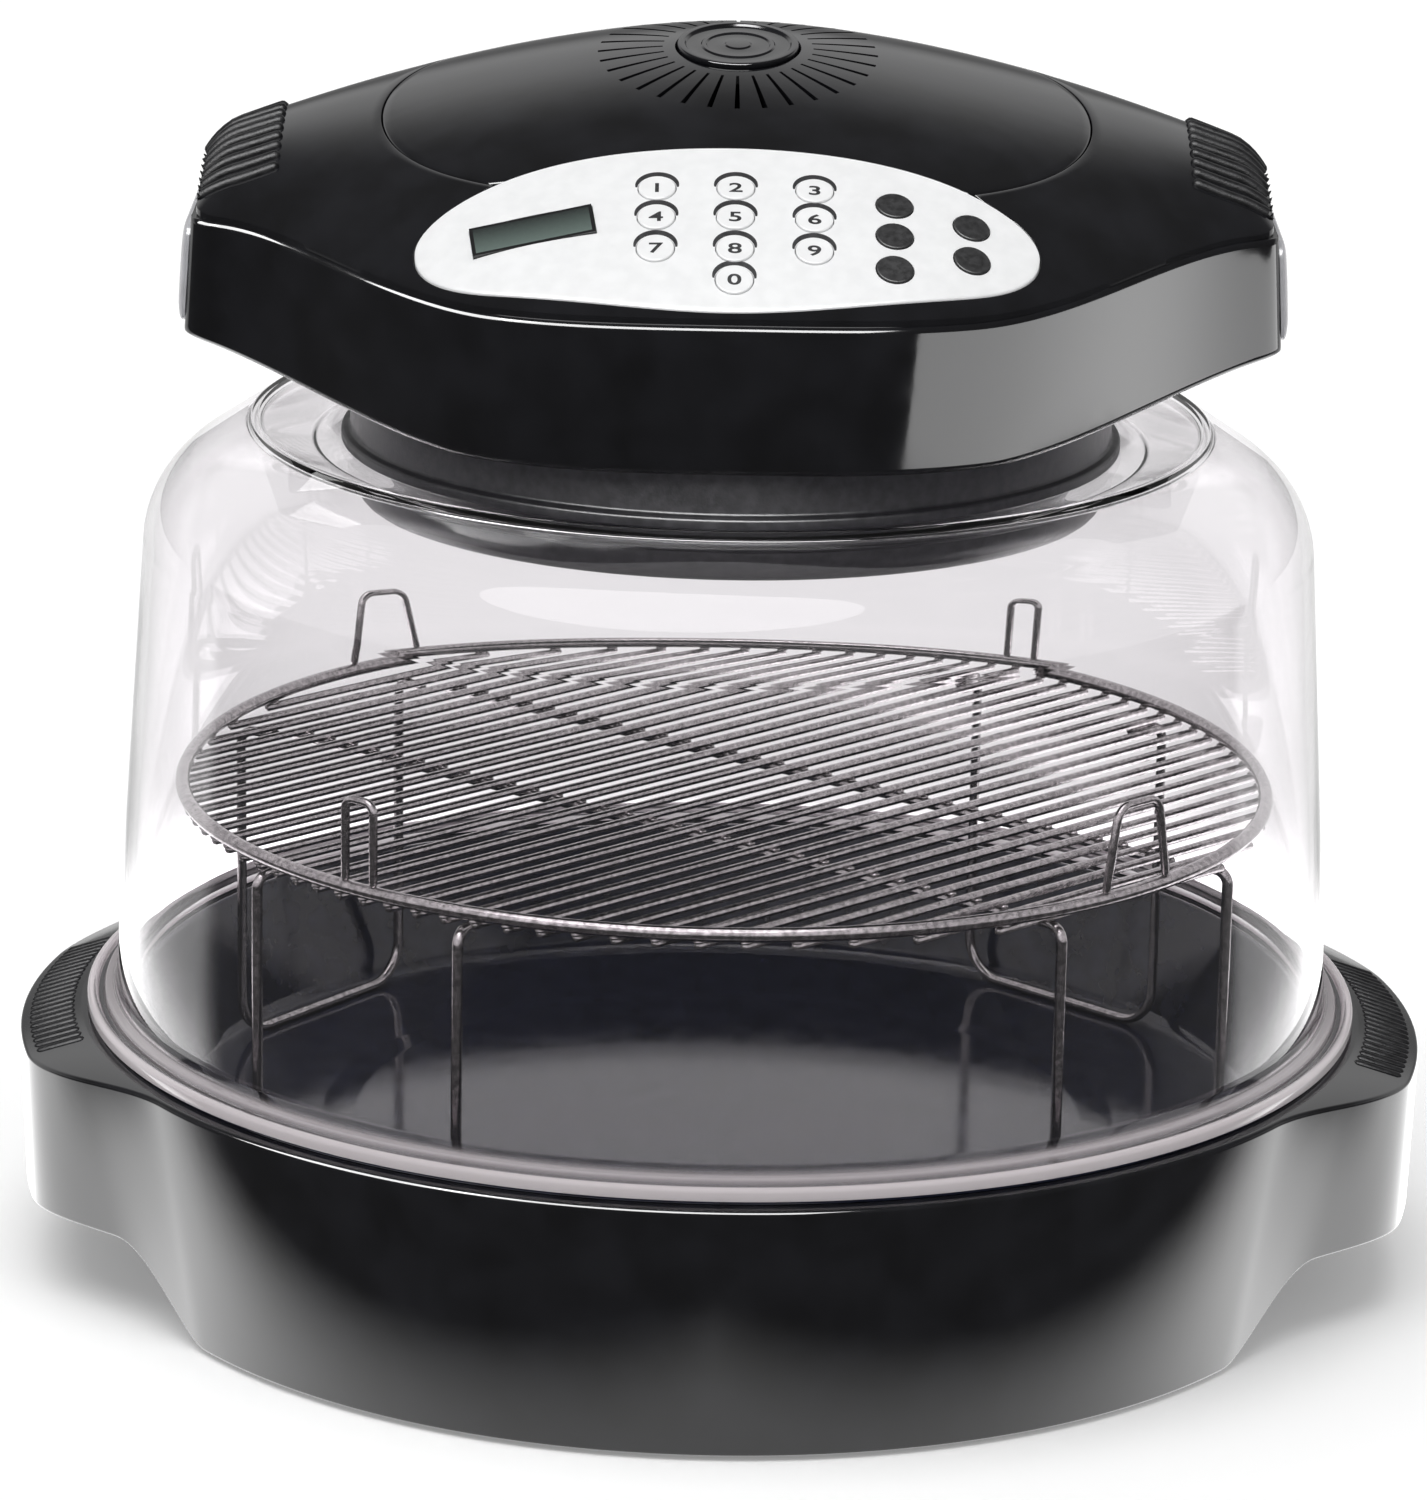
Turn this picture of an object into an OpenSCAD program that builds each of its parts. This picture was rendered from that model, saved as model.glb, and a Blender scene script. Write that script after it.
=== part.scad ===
// Countertop infrared oven: base tray, liner pan, wire rack, clear dome and power head.
// Millimetres. The origin is on the table under the middle of the base, +Z is up and the
// control panel faces -Y.

/* [Base] */
// Radius of the base at its rim
base_r = 186; // [180:1:196]
// Radius of the base at its bottom edge
base_foot_r = 175; // [168:1:180]
// Height of the base rim above the table
base_h = 75; // [68:1:90]
// Wall of the base moulding
base_wall = 3; // [2:0.5:4]
// How far each side handle stands out past the rim
handle_reach = 15.5; // [8:0.5:24]
// Fall of the handle's top from the rim to its edge
handle_drop = 5.2; // [2:0.2:9]
// Height of the finger space under each handle
finger_h = 25; // [15:1:35]
// Radius of a rubber foot
foot_r = 9; // [6:0.5:12]
// Height of a rubber foot
foot_h = 4; // [3:0.5:6]
// Distance of the feet's edge from the base's bottom edge
foot_inset = 18; // [14:1:30]

/* [Pan] */
// Depth of the pan from its rim to its floor
pan_depth = 35; // [25:1:38]
// Thickness of the pan's sheet
pan_gauge = 1.2; // [0.8:0.1:2]
// Width of the pan's flat rim
pan_rim_w = 11; // [8:1:14]
// How much narrower the pan's floor is than its mouth
pan_draft = 10; // [5:1:15]
// Radius of the raised ring step in the pan's floor
pan_step_r = 110; // [80:1:130]

/* [Rack] */
// Air between the rack's rim and the dome's shoulder
rack_gap = 5.8; // [4:0.1:14]
// Height of the rack's rim above the pan's floor
rack_rise = 102; // [80:1:106]
// Wire of the rim
rim_wire = 4; // [3:0.5:5]
// Wire of the grid rods
rod_wire = 2.4; // [1.6:0.1:3]
// Wire of the legs and of the two crossbars
leg_wire = 3; // [2.4:0.1:4]
// Spacing of the grid rods
rod_pitch = 8.75; // [7:0.25:14]
// Direction of the grid rods
rod_angle = 45; // [0:1:90]
// Direction of the crossbars
bar_angle = -39; // [-60:1:-30]
// Half the angle that a leg spans at the rim
leg_half_angle = 14; // [8:1:18]
// Height of the lifting hooks above the rim
hook_h = 23; // [15:1:28]

/* [Dome] */
// Height of the dome from its flange to its top ring
dome_h = 170.8; // [165:1:190]
// Wall of the dome
dome_wall = 3; // [2:0.5:4]
// How much narrower the dome is at its shoulder than at its foot
dome_taper = 8.2; // [4:0.2:12]
// Radius of the dome's rounded shoulder
shoulder_r = 30; // [20:1:34]
// Radius of the hole that the head stands in
neck_r = 106.5; // [102:0.5:110]
// Width of the flange outside the dome's wall
flange_w = 8.3; // [6:0.1:9]
// Thickness of the flange
flange_t = 3.7; // [3:0.1:5]

/* [Head] */
// Half the length of the head over its end grips
head_half_l = 150; // [144:1:165]
// Half the width of the head at its middle
head_half_w = 120; // [114:1:130]
// Half the width of the head's end grips
grip_half_w = 39; // [32:1:46]
// Height of the seam between housing and cover above the bowl
seam_rise = 41; // [38:1:50]
// Rise of the seam from the middle to the ends
seam_lift = 9.5; // [4:0.5:14]
// Height of the cover's crown above the seam
crown_rise = 57; // [50:1:66]
// Rise of the housing's bottom edge at the ends
tip_lift = 18; // [10:1:20]
// Wall of the housing and of the cover
head_wall = 3; // [2:0.5:3.5]
// Gap of the visible seams
seam_gap = 0.3; // [0.2:0.05:0.5]
// Spacing of the grip ribs
rib_pitch = 5; // [4:0.5:8]
// Height of the grip ribs
rib_h = 0.9; // [0.4:0.1:1.4]

/* [Bowl] */
// Height of the bowl below its seat on the dome
bowl_drop = 17; // [14:1:20]
// Height of the bowl above its seat on the dome
bowl_rise = 17; // [14:1:20]
// Wall of the bowl
bowl_wall = 2; // [1.5:0.5:3]
// Radius of the heating element's ring
heater_r = 80; // [70:1:82]
// Radius of the heating element's tube
tube_r = 4.5; // [3:0.5:5]

/* [Fans] */
// Radius of the fan that moves the oven's air
fan_r = 52; // [40:1:60]
// Radius of the fan that cools the motor
cooler_r = 42; // [30:1:48]
// Radius of the motor shaft
shaft_r = 3; // [2.5:0.5:4]
// Radial running clearance of the shaft in its bearings
shaft_fit = 0.05; // [0.02:0.01:0.1]
// Radius of the motor's can
motor_r = 30; // [26:1:34]
// Height of the motor's can
motor_h = 28; // [24:1:30]

/* [Panel] */
// Half the length of the panel
panel_half_l = 84; // [80:1:88]
// Reach of the panel towards the crown
panel_back = 24; // [22:1:26]
// Reach of the panel towards the front edge
panel_front = 32.5; // [31:0.5:33]
// Radius of a key
key_r = 5; // [3.5:0.1:5]
// Radial clearance of a key in the panel
key_fit = 0.3; // [0.2:0.05:0.4]
// How far a key is pressed
key_travel = 0.4; // [0.2:0.1:0.5]
// How far a key stands out of the panel
key_proud = 0.5; // [0.4:0.1:1]
// Columns of the number keys
key_pitch_x = 21.2; // [17:0.2:22]
// Rows of the number keys
key_pitch_y = 10.8; // [10.7:0.1:11]

/* [Hidden] */

black = [0.035, 0.036, 0.04];
charcoal = [0.14, 0.14, 0.16];
rubber = [0.07, 0.07, 0.07];
steel = [0.72, 0.73, 0.75];
clear = [0.93, 0.9, 0.93, 0.3];
white = [0.93, 0.94, 0.95];
board_green = [0.1, 0.3, 0.16];

$fn = 96;
near = 0.05;              // least gap between welded or seated curved pieces

// Base
foot_circle_r = base_foot_r - foot_inset - foot_r;
foot_gap = 1.5;           // bottom edge of the base above the table
handle_end = 34;          // angle off the X axis at which a handle has run out
handle_flat = 13;         // angle off the X axis up to which a handle keeps its full reach
finger_end = 36;          // angle at which the finger space has run out
finger_flat = 24;         // angle up to which the finger space keeps its full height
pan_gap = 1.5;            // air round the pan in its tray
tray_wall = 2.5;
rim_inset = 1.8;          // rounding of the rim's outer corner
pan_rim_r = base_r - 5;
pan_mouth_r = pan_rim_r - pan_rim_w;
dome_step = 4;            // how far the dome's wall stands outside the pan's mouth
pan_floor_r = pan_mouth_r - pan_draft;
pan_floor_z = base_h - pan_depth;
pan_step_h = 1;           // fall of the pan's floor outside its ring step
tray_z = pan_floor_z - pan_gauge - pan_gap;
tray_mouth_r = pan_mouth_r + pan_gauge + pan_gap;
tray_floor_r = pan_floor_r + pan_gauge + pan_gap;

// Rack
rack_r = pan_mouth_r + dome_step - dome_taper - dome_wall - rack_gap - rim_wire / 2;
rack_z = pan_floor_z + rack_rise;
rod_z = rack_z - rim_wire / 2 - rod_wire / 2 - near;
bar_z = rod_z - rod_wire / 2 - leg_wire / 2 - near;
foot_bar_z = pan_floor_z - pan_step_h + leg_wire / 2 + near;
leg_bend = 12;
tab_bend = 4;
tab_l = 13;
leg_angles = [46, 144, 229, 320];
bar_offsets = [-38, 32];
hook_wire = 2.4;
hook_angles = [132, 316, 231, 54.4];
hook_base_w = [24.5, 24.5, 10, 10];
hook_top_w = [16, 16, 10, 10];

// Dome
dome_z = base_h + pan_gauge;
dome_foot_r = pan_mouth_r + dome_step;
dome_shoulder_r = dome_foot_r - dome_taper;
dome_top_z = dome_z + dome_h;
neck_z = dome_top_z - 6;
shoulder_start = 3;
shoulder_end = 58;
shoulder_z = dome_top_z - 36.5;
collar_r = 134;
ledge_r = 118;

// Bowl
seat_t = 3;
bowl_gap = 1.5;
bowl_r = neck_r - bowl_gap;
bowl_flange_r = neck_r + 3.5;
bowl_top_r = neck_r + 1;
bowl_top_z = neck_z + bowl_rise;
bowl_bend = 10;
bowl_lip_r = bowl_r - 13;
bowl_bottom_z = neck_z - bowl_drop;
sheet = 0.8;
dish_z = bowl_top_z - 8;
dish_flat_r = 88;
heater_z = bowl_bottom_z + 14;
block_angle = 16;
guard_t = 1.2;
bowl_screw_r = 100;

// Head
floor_t = 2.5;
head_z = bowl_top_z;
seam_z = head_z + seam_rise;
crown_z = seam_z + crown_rise;
end_slope = 30;           // fall of the ridge from the crown to the end grips
tip_out = 2;              // how far the ends lean out at their bottom
tip_start = 70;
lift_start = 65;
cap_gap = 0.15;
nose_start = head_half_l - 11;
nose_l = 12;
ridge_back = 20;
ridge_shift = 13;
shell_t = 3;
pad_t = 0.8;
crown_half_l = 98;
crown_half_w = 66;
crown_y = -18;
vent_place = [0, -2];
vent_r = 17;
inlet_z = head_z + 22;
inlet_r = 8;

// Motor
bracket_z = head_z + floor_t + 15.5;
bracket_t = 2;
bracket_r = motor_r + 10;
motor_z = bracket_z + bracket_t;
cooler_z = motor_z + motor_h + 6;
fan_z = bowl_bottom_z + bowl_wall + guard_t + 4.8;
fan_h = 10;
hub_r = 12;
board_z = head_z + floor_t + 18.7;
board_t = 1.6;
board_l = 120;
board_d = 32;
post_r = 3;
screw_r = 1.6;
screw_fit = 0.2;

// Panel
panel_x = -2;
panel_y = 36 - head_half_w;
panel_hi = 0.3;
panel_lo = -1.7;
key_len = 2.7;
membrane_hi = -3.1;
membrane_lo = -4.6;
digit_y = panel_y - 3.5;
digit_places = [for (d = [0:9]) d == 0 ? [0, digit_y - 1.9 * key_pitch_y]
  : [((d - 1) % 3 - 1) * key_pitch_x, digit_y + (1 - floor((d - 1) / 3)) * key_pitch_y]];
function_places = [[42.7, panel_y + 4.5], [42.7, panel_y - 6.7], [42.7, panel_y - 17.9],
  [63.4, panel_y + 2], [63.4, panel_y - 9.4]];
key_places = concat(digit_places, function_places);
lcd_w = 33.5;
lcd_d = 11.5;
lcd_place = [-54.3, panel_y - 4.2];
lcd_turn = 8;

// Shape helpers

function smooth(t) = let (u = max(0, min(1, t))) u * u * (3 - 2 * u);
function blend(a, b, t) = a + (b - a) * t;
function unit(v) = v / norm(v);
function arc(cx, cy, r, a0, a1, n) = [for (i = [0:n]) let (a = blend(a0, a1, i / n))
  [cx + r * cos(a), cy + r * sin(a)]];

// Closed solid through a stack of rings with equal numbers of points
module stack(rings) {
  n = len(rings[0]);
  m = len(rings);
  sides = [for (i = [0:m - 2], j = [0:n - 1], half = [0, 1]) let (k = (j + 1) % n)
    half == 0 ? [i * n + j, (i + 1) * n + k, i * n + k]
      : [i * n + j, (i + 1) * n + j, (i + 1) * n + k]];
  bottom = [for (j = [0:n - 1]) j];
  top = [for (j = [n - 1:-1:0]) (m - 1) * n + j];
  polyhedron([for (ring = rings) each ring], concat([bottom], sides, [top]));
}

// Places children so that their Z axis lies along v and their X axis runs sideways
module along(v) {
  z = unit(v);
  x = unit([1, 0, 0] - z * z[0]);
  y = cross(z, x);
  multmatrix([[x[0], y[0], z[0], 0], [x[1], y[1], z[1], 0], [x[2], y[2], z[2], 0], [0, 0, 0, 1]])
    children();
}

// Path through points with each inner corner rounded by an arc of the radius given for it
function bent_path(points, bends, steps) = let (n = len(points)) concat([points[0]],
  [for (i = [1:n - 2]) let (u = unit(points[i] - points[i - 1]), v = unit(points[i + 1] - points[i]),
      turn = acos(u * v), w = unit(v - u * (u * v)), r = bends[i - 1],
      start = points[i] - u * r * tan(turn / 2))
    each [for (k = [0:steps]) let (a = turn * k / steps) start + u * r * sin(a) + w * r * (1 - cos(a))]],
  [points[n - 1]]);

// Side direction carried along a path without twist
function carried(sides, tangents, i) = i >= len(tangents) ? sides
  : carried(concat(sides, [let (t = tangents[i], s = sides[i - 1]) unit(s - t * (s * t))]), tangents, i + 1);

// Round wire swept along a path, starting with a side direction
module swept_wire(path, wire, side, facets) {
  n = len(path);
  tangents = [for (i = [0:n - 1]) unit(path[min(i + 1, n - 1)] - path[max(i - 1, 0)])];
  sides = carried([side], tangents, 1);
  stack([for (i = [0:n - 1]) let (s = sides[i], b = cross(tangents[i], s))
    [for (k = [0:facets - 1]) let (a = 360 * k / facets) path[i] + (s * cos(a) + b * sin(a)) * wire / 2]]);
}

// Ring of revolution about Z from a profile in [radius, height]
module revolve(profile) {
  rotate_extrude($fn = 180)
    polygon(profile);
}

// Base

function lobe(a) = smooth((handle_end - a) / (handle_end - handle_flat));
function skirt_z(a) = blend(foot_gap, finger_h, smooth((finger_end - a) / (finger_end - finger_flat)));
function edge_z(s) = base_h - 1.4 - handle_drop * s;
function body_r(z) = blend(base_foot_r, base_r, (z - foot_gap) / (edge_z(0) - foot_gap));
function skirt_r(z, s) = blend(body_r(z), base_r + handle_reach - (edge_z(s) - z) * tan(2), s);

// Outline of the base moulding at an angle off the X axis, from the tray floor round to its underside
function base_profile(a) = let (s = lobe(a), low = skirt_z(a), high = edge_z(s))
  concat([
    [tray_floor_r - 5, tray_z],
    [tray_floor_r, tray_z + 4],
    [tray_mouth_r, base_h],
    [base_r - rim_inset, base_h],
    [base_r - rim_inset + (handle_reach + 0.4) * 0.45 * s + 0.3, base_h - 0.1 - handle_drop * 0.5 * s],
    [base_r - 0.6 + (handle_reach - 1) * s, base_h - 0.4 - handle_drop * s]],
    [for (f = [0, 1 / 3, 2 / 3, 1]) let (z = blend(high, low, f)) [skirt_r(z, s), z]],
    [for (f = [1, 2 / 3, 1 / 3, 0]) let (z = blend(high - base_wall, low, f))
      [skirt_r(z, s) - base_wall, z]],
    [[base_r - rim_inset - base_wall, base_h - base_wall],
    [tray_mouth_r + tray_wall, base_h - base_wall],
    [tray_floor_r + tray_wall, tray_z + 4],
    [tray_floor_r - 4, tray_z - base_wall]]);

// Angles round the base: close together over a handle's shoulders, wide elsewhere
quarter_angles = concat([for (a = [0:2:38]) a], [for (a = [43:6:85]) a], [90]);
half_angles = concat(quarter_angles, [for (i = [len(quarter_angles) - 2:-1:0]) 180 - quarter_angles[i]]);
base_angles = concat(half_angles, [for (i = [1:len(half_angles) - 2]) 180 + half_angles[i]]);
function off_axis(a) = let (m = a % 180) min(m, 180 - m);

module foot_places() {
  for (a = [45:90:315])
    rotate([0, 0, a])
      translate([foot_circle_r, 0, 0])
        children();
}

module base_shell() {
  profiles = [for (a = base_angles) base_profile(off_axis(a))];
  color(black)
    difference() {
      union() {
        stack([for (k = [len(profiles[0]) - 1:-1:0]) [for (i = [0:len(base_angles) - 1])
          let (p = profiles[i][k], a = base_angles[i]) [p[0] * cos(a), p[0] * sin(a), p[1]]]]);
        foot_places()
          translate([0, 0, foot_h])
            cylinder(h = tray_z - base_wall - foot_h + 1, r = foot_r - 1);
      }
      foot_places()
        translate([0, 0, foot_h - 1])
          cylinder(h = 14, r = screw_r + screw_fit, $fn = 24);
    }
}

module base_feet() {
  color(rubber)
    foot_places()
      difference() {
        cylinder(h = foot_h, r = foot_r);
        translate([0, 0, -1])
          cylinder(h = 3, r = 4.2);
        cylinder(h = foot_h + 1, r = screw_r + screw_fit, $fn = 24);
      }
}

module foot_screws() {
  color(steel)
    foot_places()
      union() {
        translate([0, 0, 0.6])
          cylinder(h = 1.4, r = 3.6);
        translate([0, 0, 1])
          cylinder(h = 14, r = screw_r, $fn = 24);
      }
}

// Pan

module liner_pan() {
  corner = 5;
  step = 1.5;
  outer_z = pan_floor_z - pan_step_h;
  top_z = base_h + pan_gauge;
  upper = concat(
    [[0, pan_floor_z], [pan_step_r - step, pan_floor_z], [pan_step_r + step, outer_z]],
    arc(pan_floor_r - corner, outer_z + corner, corner, -90, -10, 6),
    [[pan_mouth_r, top_z - 1], [pan_mouth_r + 1, top_z], [pan_rim_r, top_z]]);
  lower = concat([[pan_rim_r, base_h], [pan_mouth_r + 1 + pan_gauge, base_h],
    [pan_mouth_r + pan_gauge, base_h - 1]],
    arc(pan_floor_r - corner, outer_z + corner, corner + pan_gauge, -10, -90, 6),
    [[pan_step_r + step, outer_z - pan_gauge], [pan_step_r - step, pan_floor_z - pan_gauge],
    [0, pan_floor_z - pan_gauge]]);
  color(charcoal)
    revolve(concat(upper, lower));
}

// Rack

module rack_rim() {
  color(steel)
    translate([0, 0, rack_z])
      rotate_extrude($fn = 180)
        translate([rack_r, 0])
          circle(d = rim_wire, $fn = 32);
}

module rack_rods() {
  half = floor((rack_r - 3) / rod_pitch);
  color(steel)
    for (i = [-half:half])
      let (c = i * rod_pitch, l = sqrt(rack_r * rack_r - c * c))
        rotate([0, 0, rod_angle])
          translate([-l, c, rod_z])
            rotate([0, 90, 0])
              cylinder(h = 2 * l, d = rod_wire, $fn = 24);
}

module rack_crossbars() {
  color(steel)
    for (c = bar_offsets)
      let (l = sqrt(pow(rack_r - tab_l - leg_wire, 2) - c * c))
        rotate([0, 0, bar_angle])
          translate([-l, c, bar_z])
            rotate([0, 90, 0])
              cylinder(h = 2 * l, d = leg_wire, $fn = 24);
}

// One U-shaped leg: two uprights under the rim, a foot bar, and a tab turned in under the rods
module rack_leg(a) {
  function rim_point(b, r, z) = [r * cos(b), r * sin(b), z];
  left = a - leg_half_angle;
  right = a + leg_half_angle;
  points = [rim_point(left, rack_r - tab_l, bar_z), rim_point(left, rack_r, bar_z),
    rim_point(left, rack_r, foot_bar_z), rim_point(right, rack_r, foot_bar_z),
    rim_point(right, rack_r, bar_z), rim_point(right, rack_r - tab_l, bar_z)];
  color(steel)
    swept_wire(bent_path(points, [tab_bend, leg_bend, leg_bend, tab_bend], 6), leg_wire, [0, 0, 1], 10);
}

// One lifting hook that stands on the rim
module rack_hook(i) {
  b = hook_base_w[i] / 2;
  t = hook_top_w[i] / 2;
  bend = t * 0.6;
  points = [[0, -b, 0], [0, -t, hook_h], [0, t, hook_h], [0, b, 0]];
  color(steel)
    rotate([0, 0, hook_angles[i]])
      translate([rack_r, 0, rack_z + rim_wire / 2 + near])
        swept_wire(bent_path(points, [bend, bend], 6), hook_wire, [1, 0, 0], 10);
}

// Dome

module dome() {
  rim_r = dome_foot_r + flange_w;
  inner_shoulder = shoulder_r - dome_wall;
  cx = dome_shoulder_r - shoulder_r;
  outer = concat(
    [[rim_r, dome_z], [rim_r, dome_z + flange_t - 0.7]],
    arc(rim_r - 1.3, dome_z + flange_t, 1.3, -20, 180, 8),
    [[dome_foot_r + 3, dome_z + flange_t], [dome_foot_r + 2.4, dome_z + flange_t + 1.1],
    [dome_foot_r + 0.8, dome_z + flange_t + 1.1], [dome_foot_r, dome_z + flange_t + 4]],
    arc(cx, shoulder_z, shoulder_r, shoulder_start, shoulder_end, 12),
    [[collar_r + 2.5, dome_top_z - 0.8], [collar_r + 1.5, dome_top_z], [collar_r, dome_top_z],
    [ledge_r, neck_z], [neck_r, neck_z]]);
  inner = concat(
    [[neck_r, neck_z - seat_t], [ledge_r - 1, neck_z - seat_t], [collar_r, dome_top_z - seat_t - 0.6]],
    arc(cx, shoulder_z, inner_shoulder, shoulder_end, shoulder_start, 12),
    [[dome_foot_r - dome_wall, dome_z + flange_t], [dome_foot_r - dome_wall, dome_z]]);
  color(clear)
    revolve(concat(outer, inner));
}

// Heater bowl and what hangs in it

module bowl_screw_places(n = 6) {
  for (i = [0:n - 1])
    rotate([0, 0, 30 + i * 360 / n])
      translate([bowl_screw_r, 0, 0])
        children();
}

module heater_bowl() {
  bend_z = bowl_bottom_z + bowl_bend;
  outer = concat(
    [[bowl_top_r, bowl_top_z], [bowl_top_r, neck_z + 3.6], [bowl_flange_r, neck_z + 3],
    [bowl_flange_r, neck_z], [bowl_r, neck_z], [bowl_r, neck_z - 6], [bowl_r - 1.2, neck_z - 6.6]],
    arc(bowl_r - 1.2 - bowl_bend, bend_z, bowl_bend, 0, -90, 10),
    [[bowl_lip_r, bowl_bottom_z], [bowl_lip_r, bowl_bottom_z + bowl_wall]]);
  inner = concat(
    arc(bowl_r - 1.2 - bowl_bend, bend_z, bowl_bend - bowl_wall, -90, 0, 8),
    [[bowl_r - bowl_wall, neck_z - 5.6], [bowl_r - bowl_wall, neck_z + 3],
    [bowl_top_r - bowl_wall, neck_z + 5], [bowl_top_r - bowl_wall, bowl_top_z - bowl_wall],
    [bowl_lip_r + 4, bowl_top_z - bowl_wall], [bowl_lip_r + 4, bowl_top_z]]);
  color(charcoal)
    difference() {
      revolve(concat(outer, inner));
      bowl_screw_places()
        translate([0, 0, bowl_top_z - bowl_wall - 1])
          cylinder(h = bowl_wall + 2, r = screw_r + screw_fit, $fn = 24);
    }
}

module reflector_dish() {
  rim_z = bowl_top_z - bowl_wall - sheet;
  rim_r = bowl_top_r - bowl_wall - 1;
  hole_r = shaft_r + 2;
  color(steel)
    difference() {
      revolve([[hole_r, dish_z], [dish_flat_r, dish_z], [dish_flat_r + 6, rim_z], [rim_r, rim_z],
        [rim_r, rim_z + sheet], [dish_flat_r + 5.6, rim_z + sheet], [dish_flat_r - 0.3, dish_z + sheet],
        [hole_r, dish_z + sheet]]);
      bowl_screw_places()
        translate([0, 0, rim_z - 1])
          cylinder(h = sheet + 2, r = screw_r + screw_fit, $fn = 24);
    }
}

module bowl_screws() {
  head_z0 = bowl_top_z - bowl_wall - sheet;
  color(steel)
    bowl_screw_places()
      union() {
        translate([0, 0, head_z0 - 1.6])
          cylinder(h = 1.6, r = 3);
        translate([0, 0, head_z0 - 0.8])
          cylinder(h = sheet + bowl_wall + floor_t + 4, r = screw_r, $fn = 24);
      }
}

module heater_tube() {
  color([0.8, 0.72, 0.68])
    translate([0, 0, heater_z])
      rotate([0, 0, 90 + block_angle / 2])
        rotate_extrude(angle = 360 - block_angle, $fn = 120)
          translate([heater_r, 0])
            circle(r = tube_r, $fn = 24);
}

module heater_block() {
  low = heater_z - tube_r - 2;
  color([0.88, 0.86, 0.8])
    rotate([0, 0, 90 - block_angle / 2])
      rotate_extrude(angle = block_angle, $fn = 120)
        translate([heater_r - tube_r - 2, low])
          square([2 * tube_r + 4, dish_z - low]);
}

module heater_clips() {
  ring_r = tube_r + 1.5;
  color(steel)
    for (a = [-30, 210])
      rotate([0, 0, a])
        translate([heater_r, 0, heater_z])
          difference() {
            union() {
              rotate([90, 0, 0])
                cylinder(h = 6, r = ring_r, center = true, $fn = 32);
              cylinder(h = dish_z - heater_z, r = 2, $fn = 24);
            }
            rotate([90, 0, 0])
              cylinder(h = 8, r = tube_r + 0.3, center = true, $fn = 32);
          }
}

module fan_guard() {
  r = bowl_lip_r + 2;
  rings = [24, 46, 68];
  color(charcoal)
    translate([0, 0, bowl_bottom_z + bowl_wall])
      linear_extrude(guard_t)
        difference() {
          circle(r = r, $fn = 120);
          circle(r = 8);
          for (ring = rings, i = [0:15])
            rotate([0, 0, i * 22.5])
              translate([ring - 8, -1.5 - ring / 30])
                square([16, 3 + ring / 15]);
        }
}

// Fan wheel: a bored hub and pitched blades, all one piece
module fan_wheel(r, h, hub, count, pitch) {
  difference() {
    union() {
      cylinder(h = h, r = hub);
      for (i = [0:count - 1])
        rotate([0, 0, i * 360 / count])
          translate([(r + hub) / 2 - 1, 0, h / 2])
            rotate([pitch, 0, 0])
              cube([r - hub, h * 1.4, 1.2], center = true);
    }
    translate([0, 0, -1])
      cylinder(h = h + 2, r = shaft_r, $fn = 48);
  }
}

module circulation_fan() {
  color(steel)
    translate([0, 0, fan_z])
      fan_wheel(fan_r, fan_h, hub_r, 8, 35);
}

module cooling_fan() {
  color(charcoal)
    translate([0, 0, cooler_z])
      fan_wheel(cooler_r, fan_h, hub_r - 3, 10, 40);
}

module motor_shaft() {
  color(steel)
    translate([0, 0, fan_z - 2])
      cylinder(h = cooler_z + fan_h + 4 - fan_z, r = shaft_r, $fn = 48);
}

module motor_can() {
  wall = 2;
  plate = 5;
  bore = shaft_r + shaft_fit;
  color(steel)
    translate([0, 0, motor_z])
      difference() {
        cylinder(h = motor_h, r = motor_r);
        translate([0, 0, plate])
          cylinder(h = motor_h - 2 * plate, r = motor_r - wall);
        translate([0, 0, -1])
          cylinder(h = motor_h + 2, r = bore, $fn = 48);
      }
}

module motor_rotor() {
  color([0.6, 0.36, 0.2])
    translate([0, 0, motor_z + 6])
      difference() {
        cylinder(h = motor_h - 12, r = motor_r - 6);
        translate([0, 0, -1])
          cylinder(h = motor_h, r = shaft_r, $fn = 48);
      }
}

module motor_bracket() {
  foot_z = head_z + floor_t;
  color(steel)
    difference() {
      union() {
        translate([0, 0, bracket_z])
          cylinder(h = bracket_t, r = bracket_r);
        for (a = [90, 210, 330])
          rotate([0, 0, a])
            translate([bracket_r - 4, 0, foot_z])
              cylinder(h = bracket_z - foot_z + 1, r = 3.5, $fn = 32);
      }
      translate([0, 0, bracket_z - 1])
        cylinder(h = bracket_t + 2, r = shaft_r + 3);
    }
}

module insulation_pad() {
  color([0.85, 0.84, 0.78])
    translate([0, 0, head_z + floor_t])
      difference() {
        cylinder(h = 2, r = tip_start - 2);
        translate([0, 0, -1])
          cylinder(h = 4, r = bracket_r + 2);
      }
}

// Head surface

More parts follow.
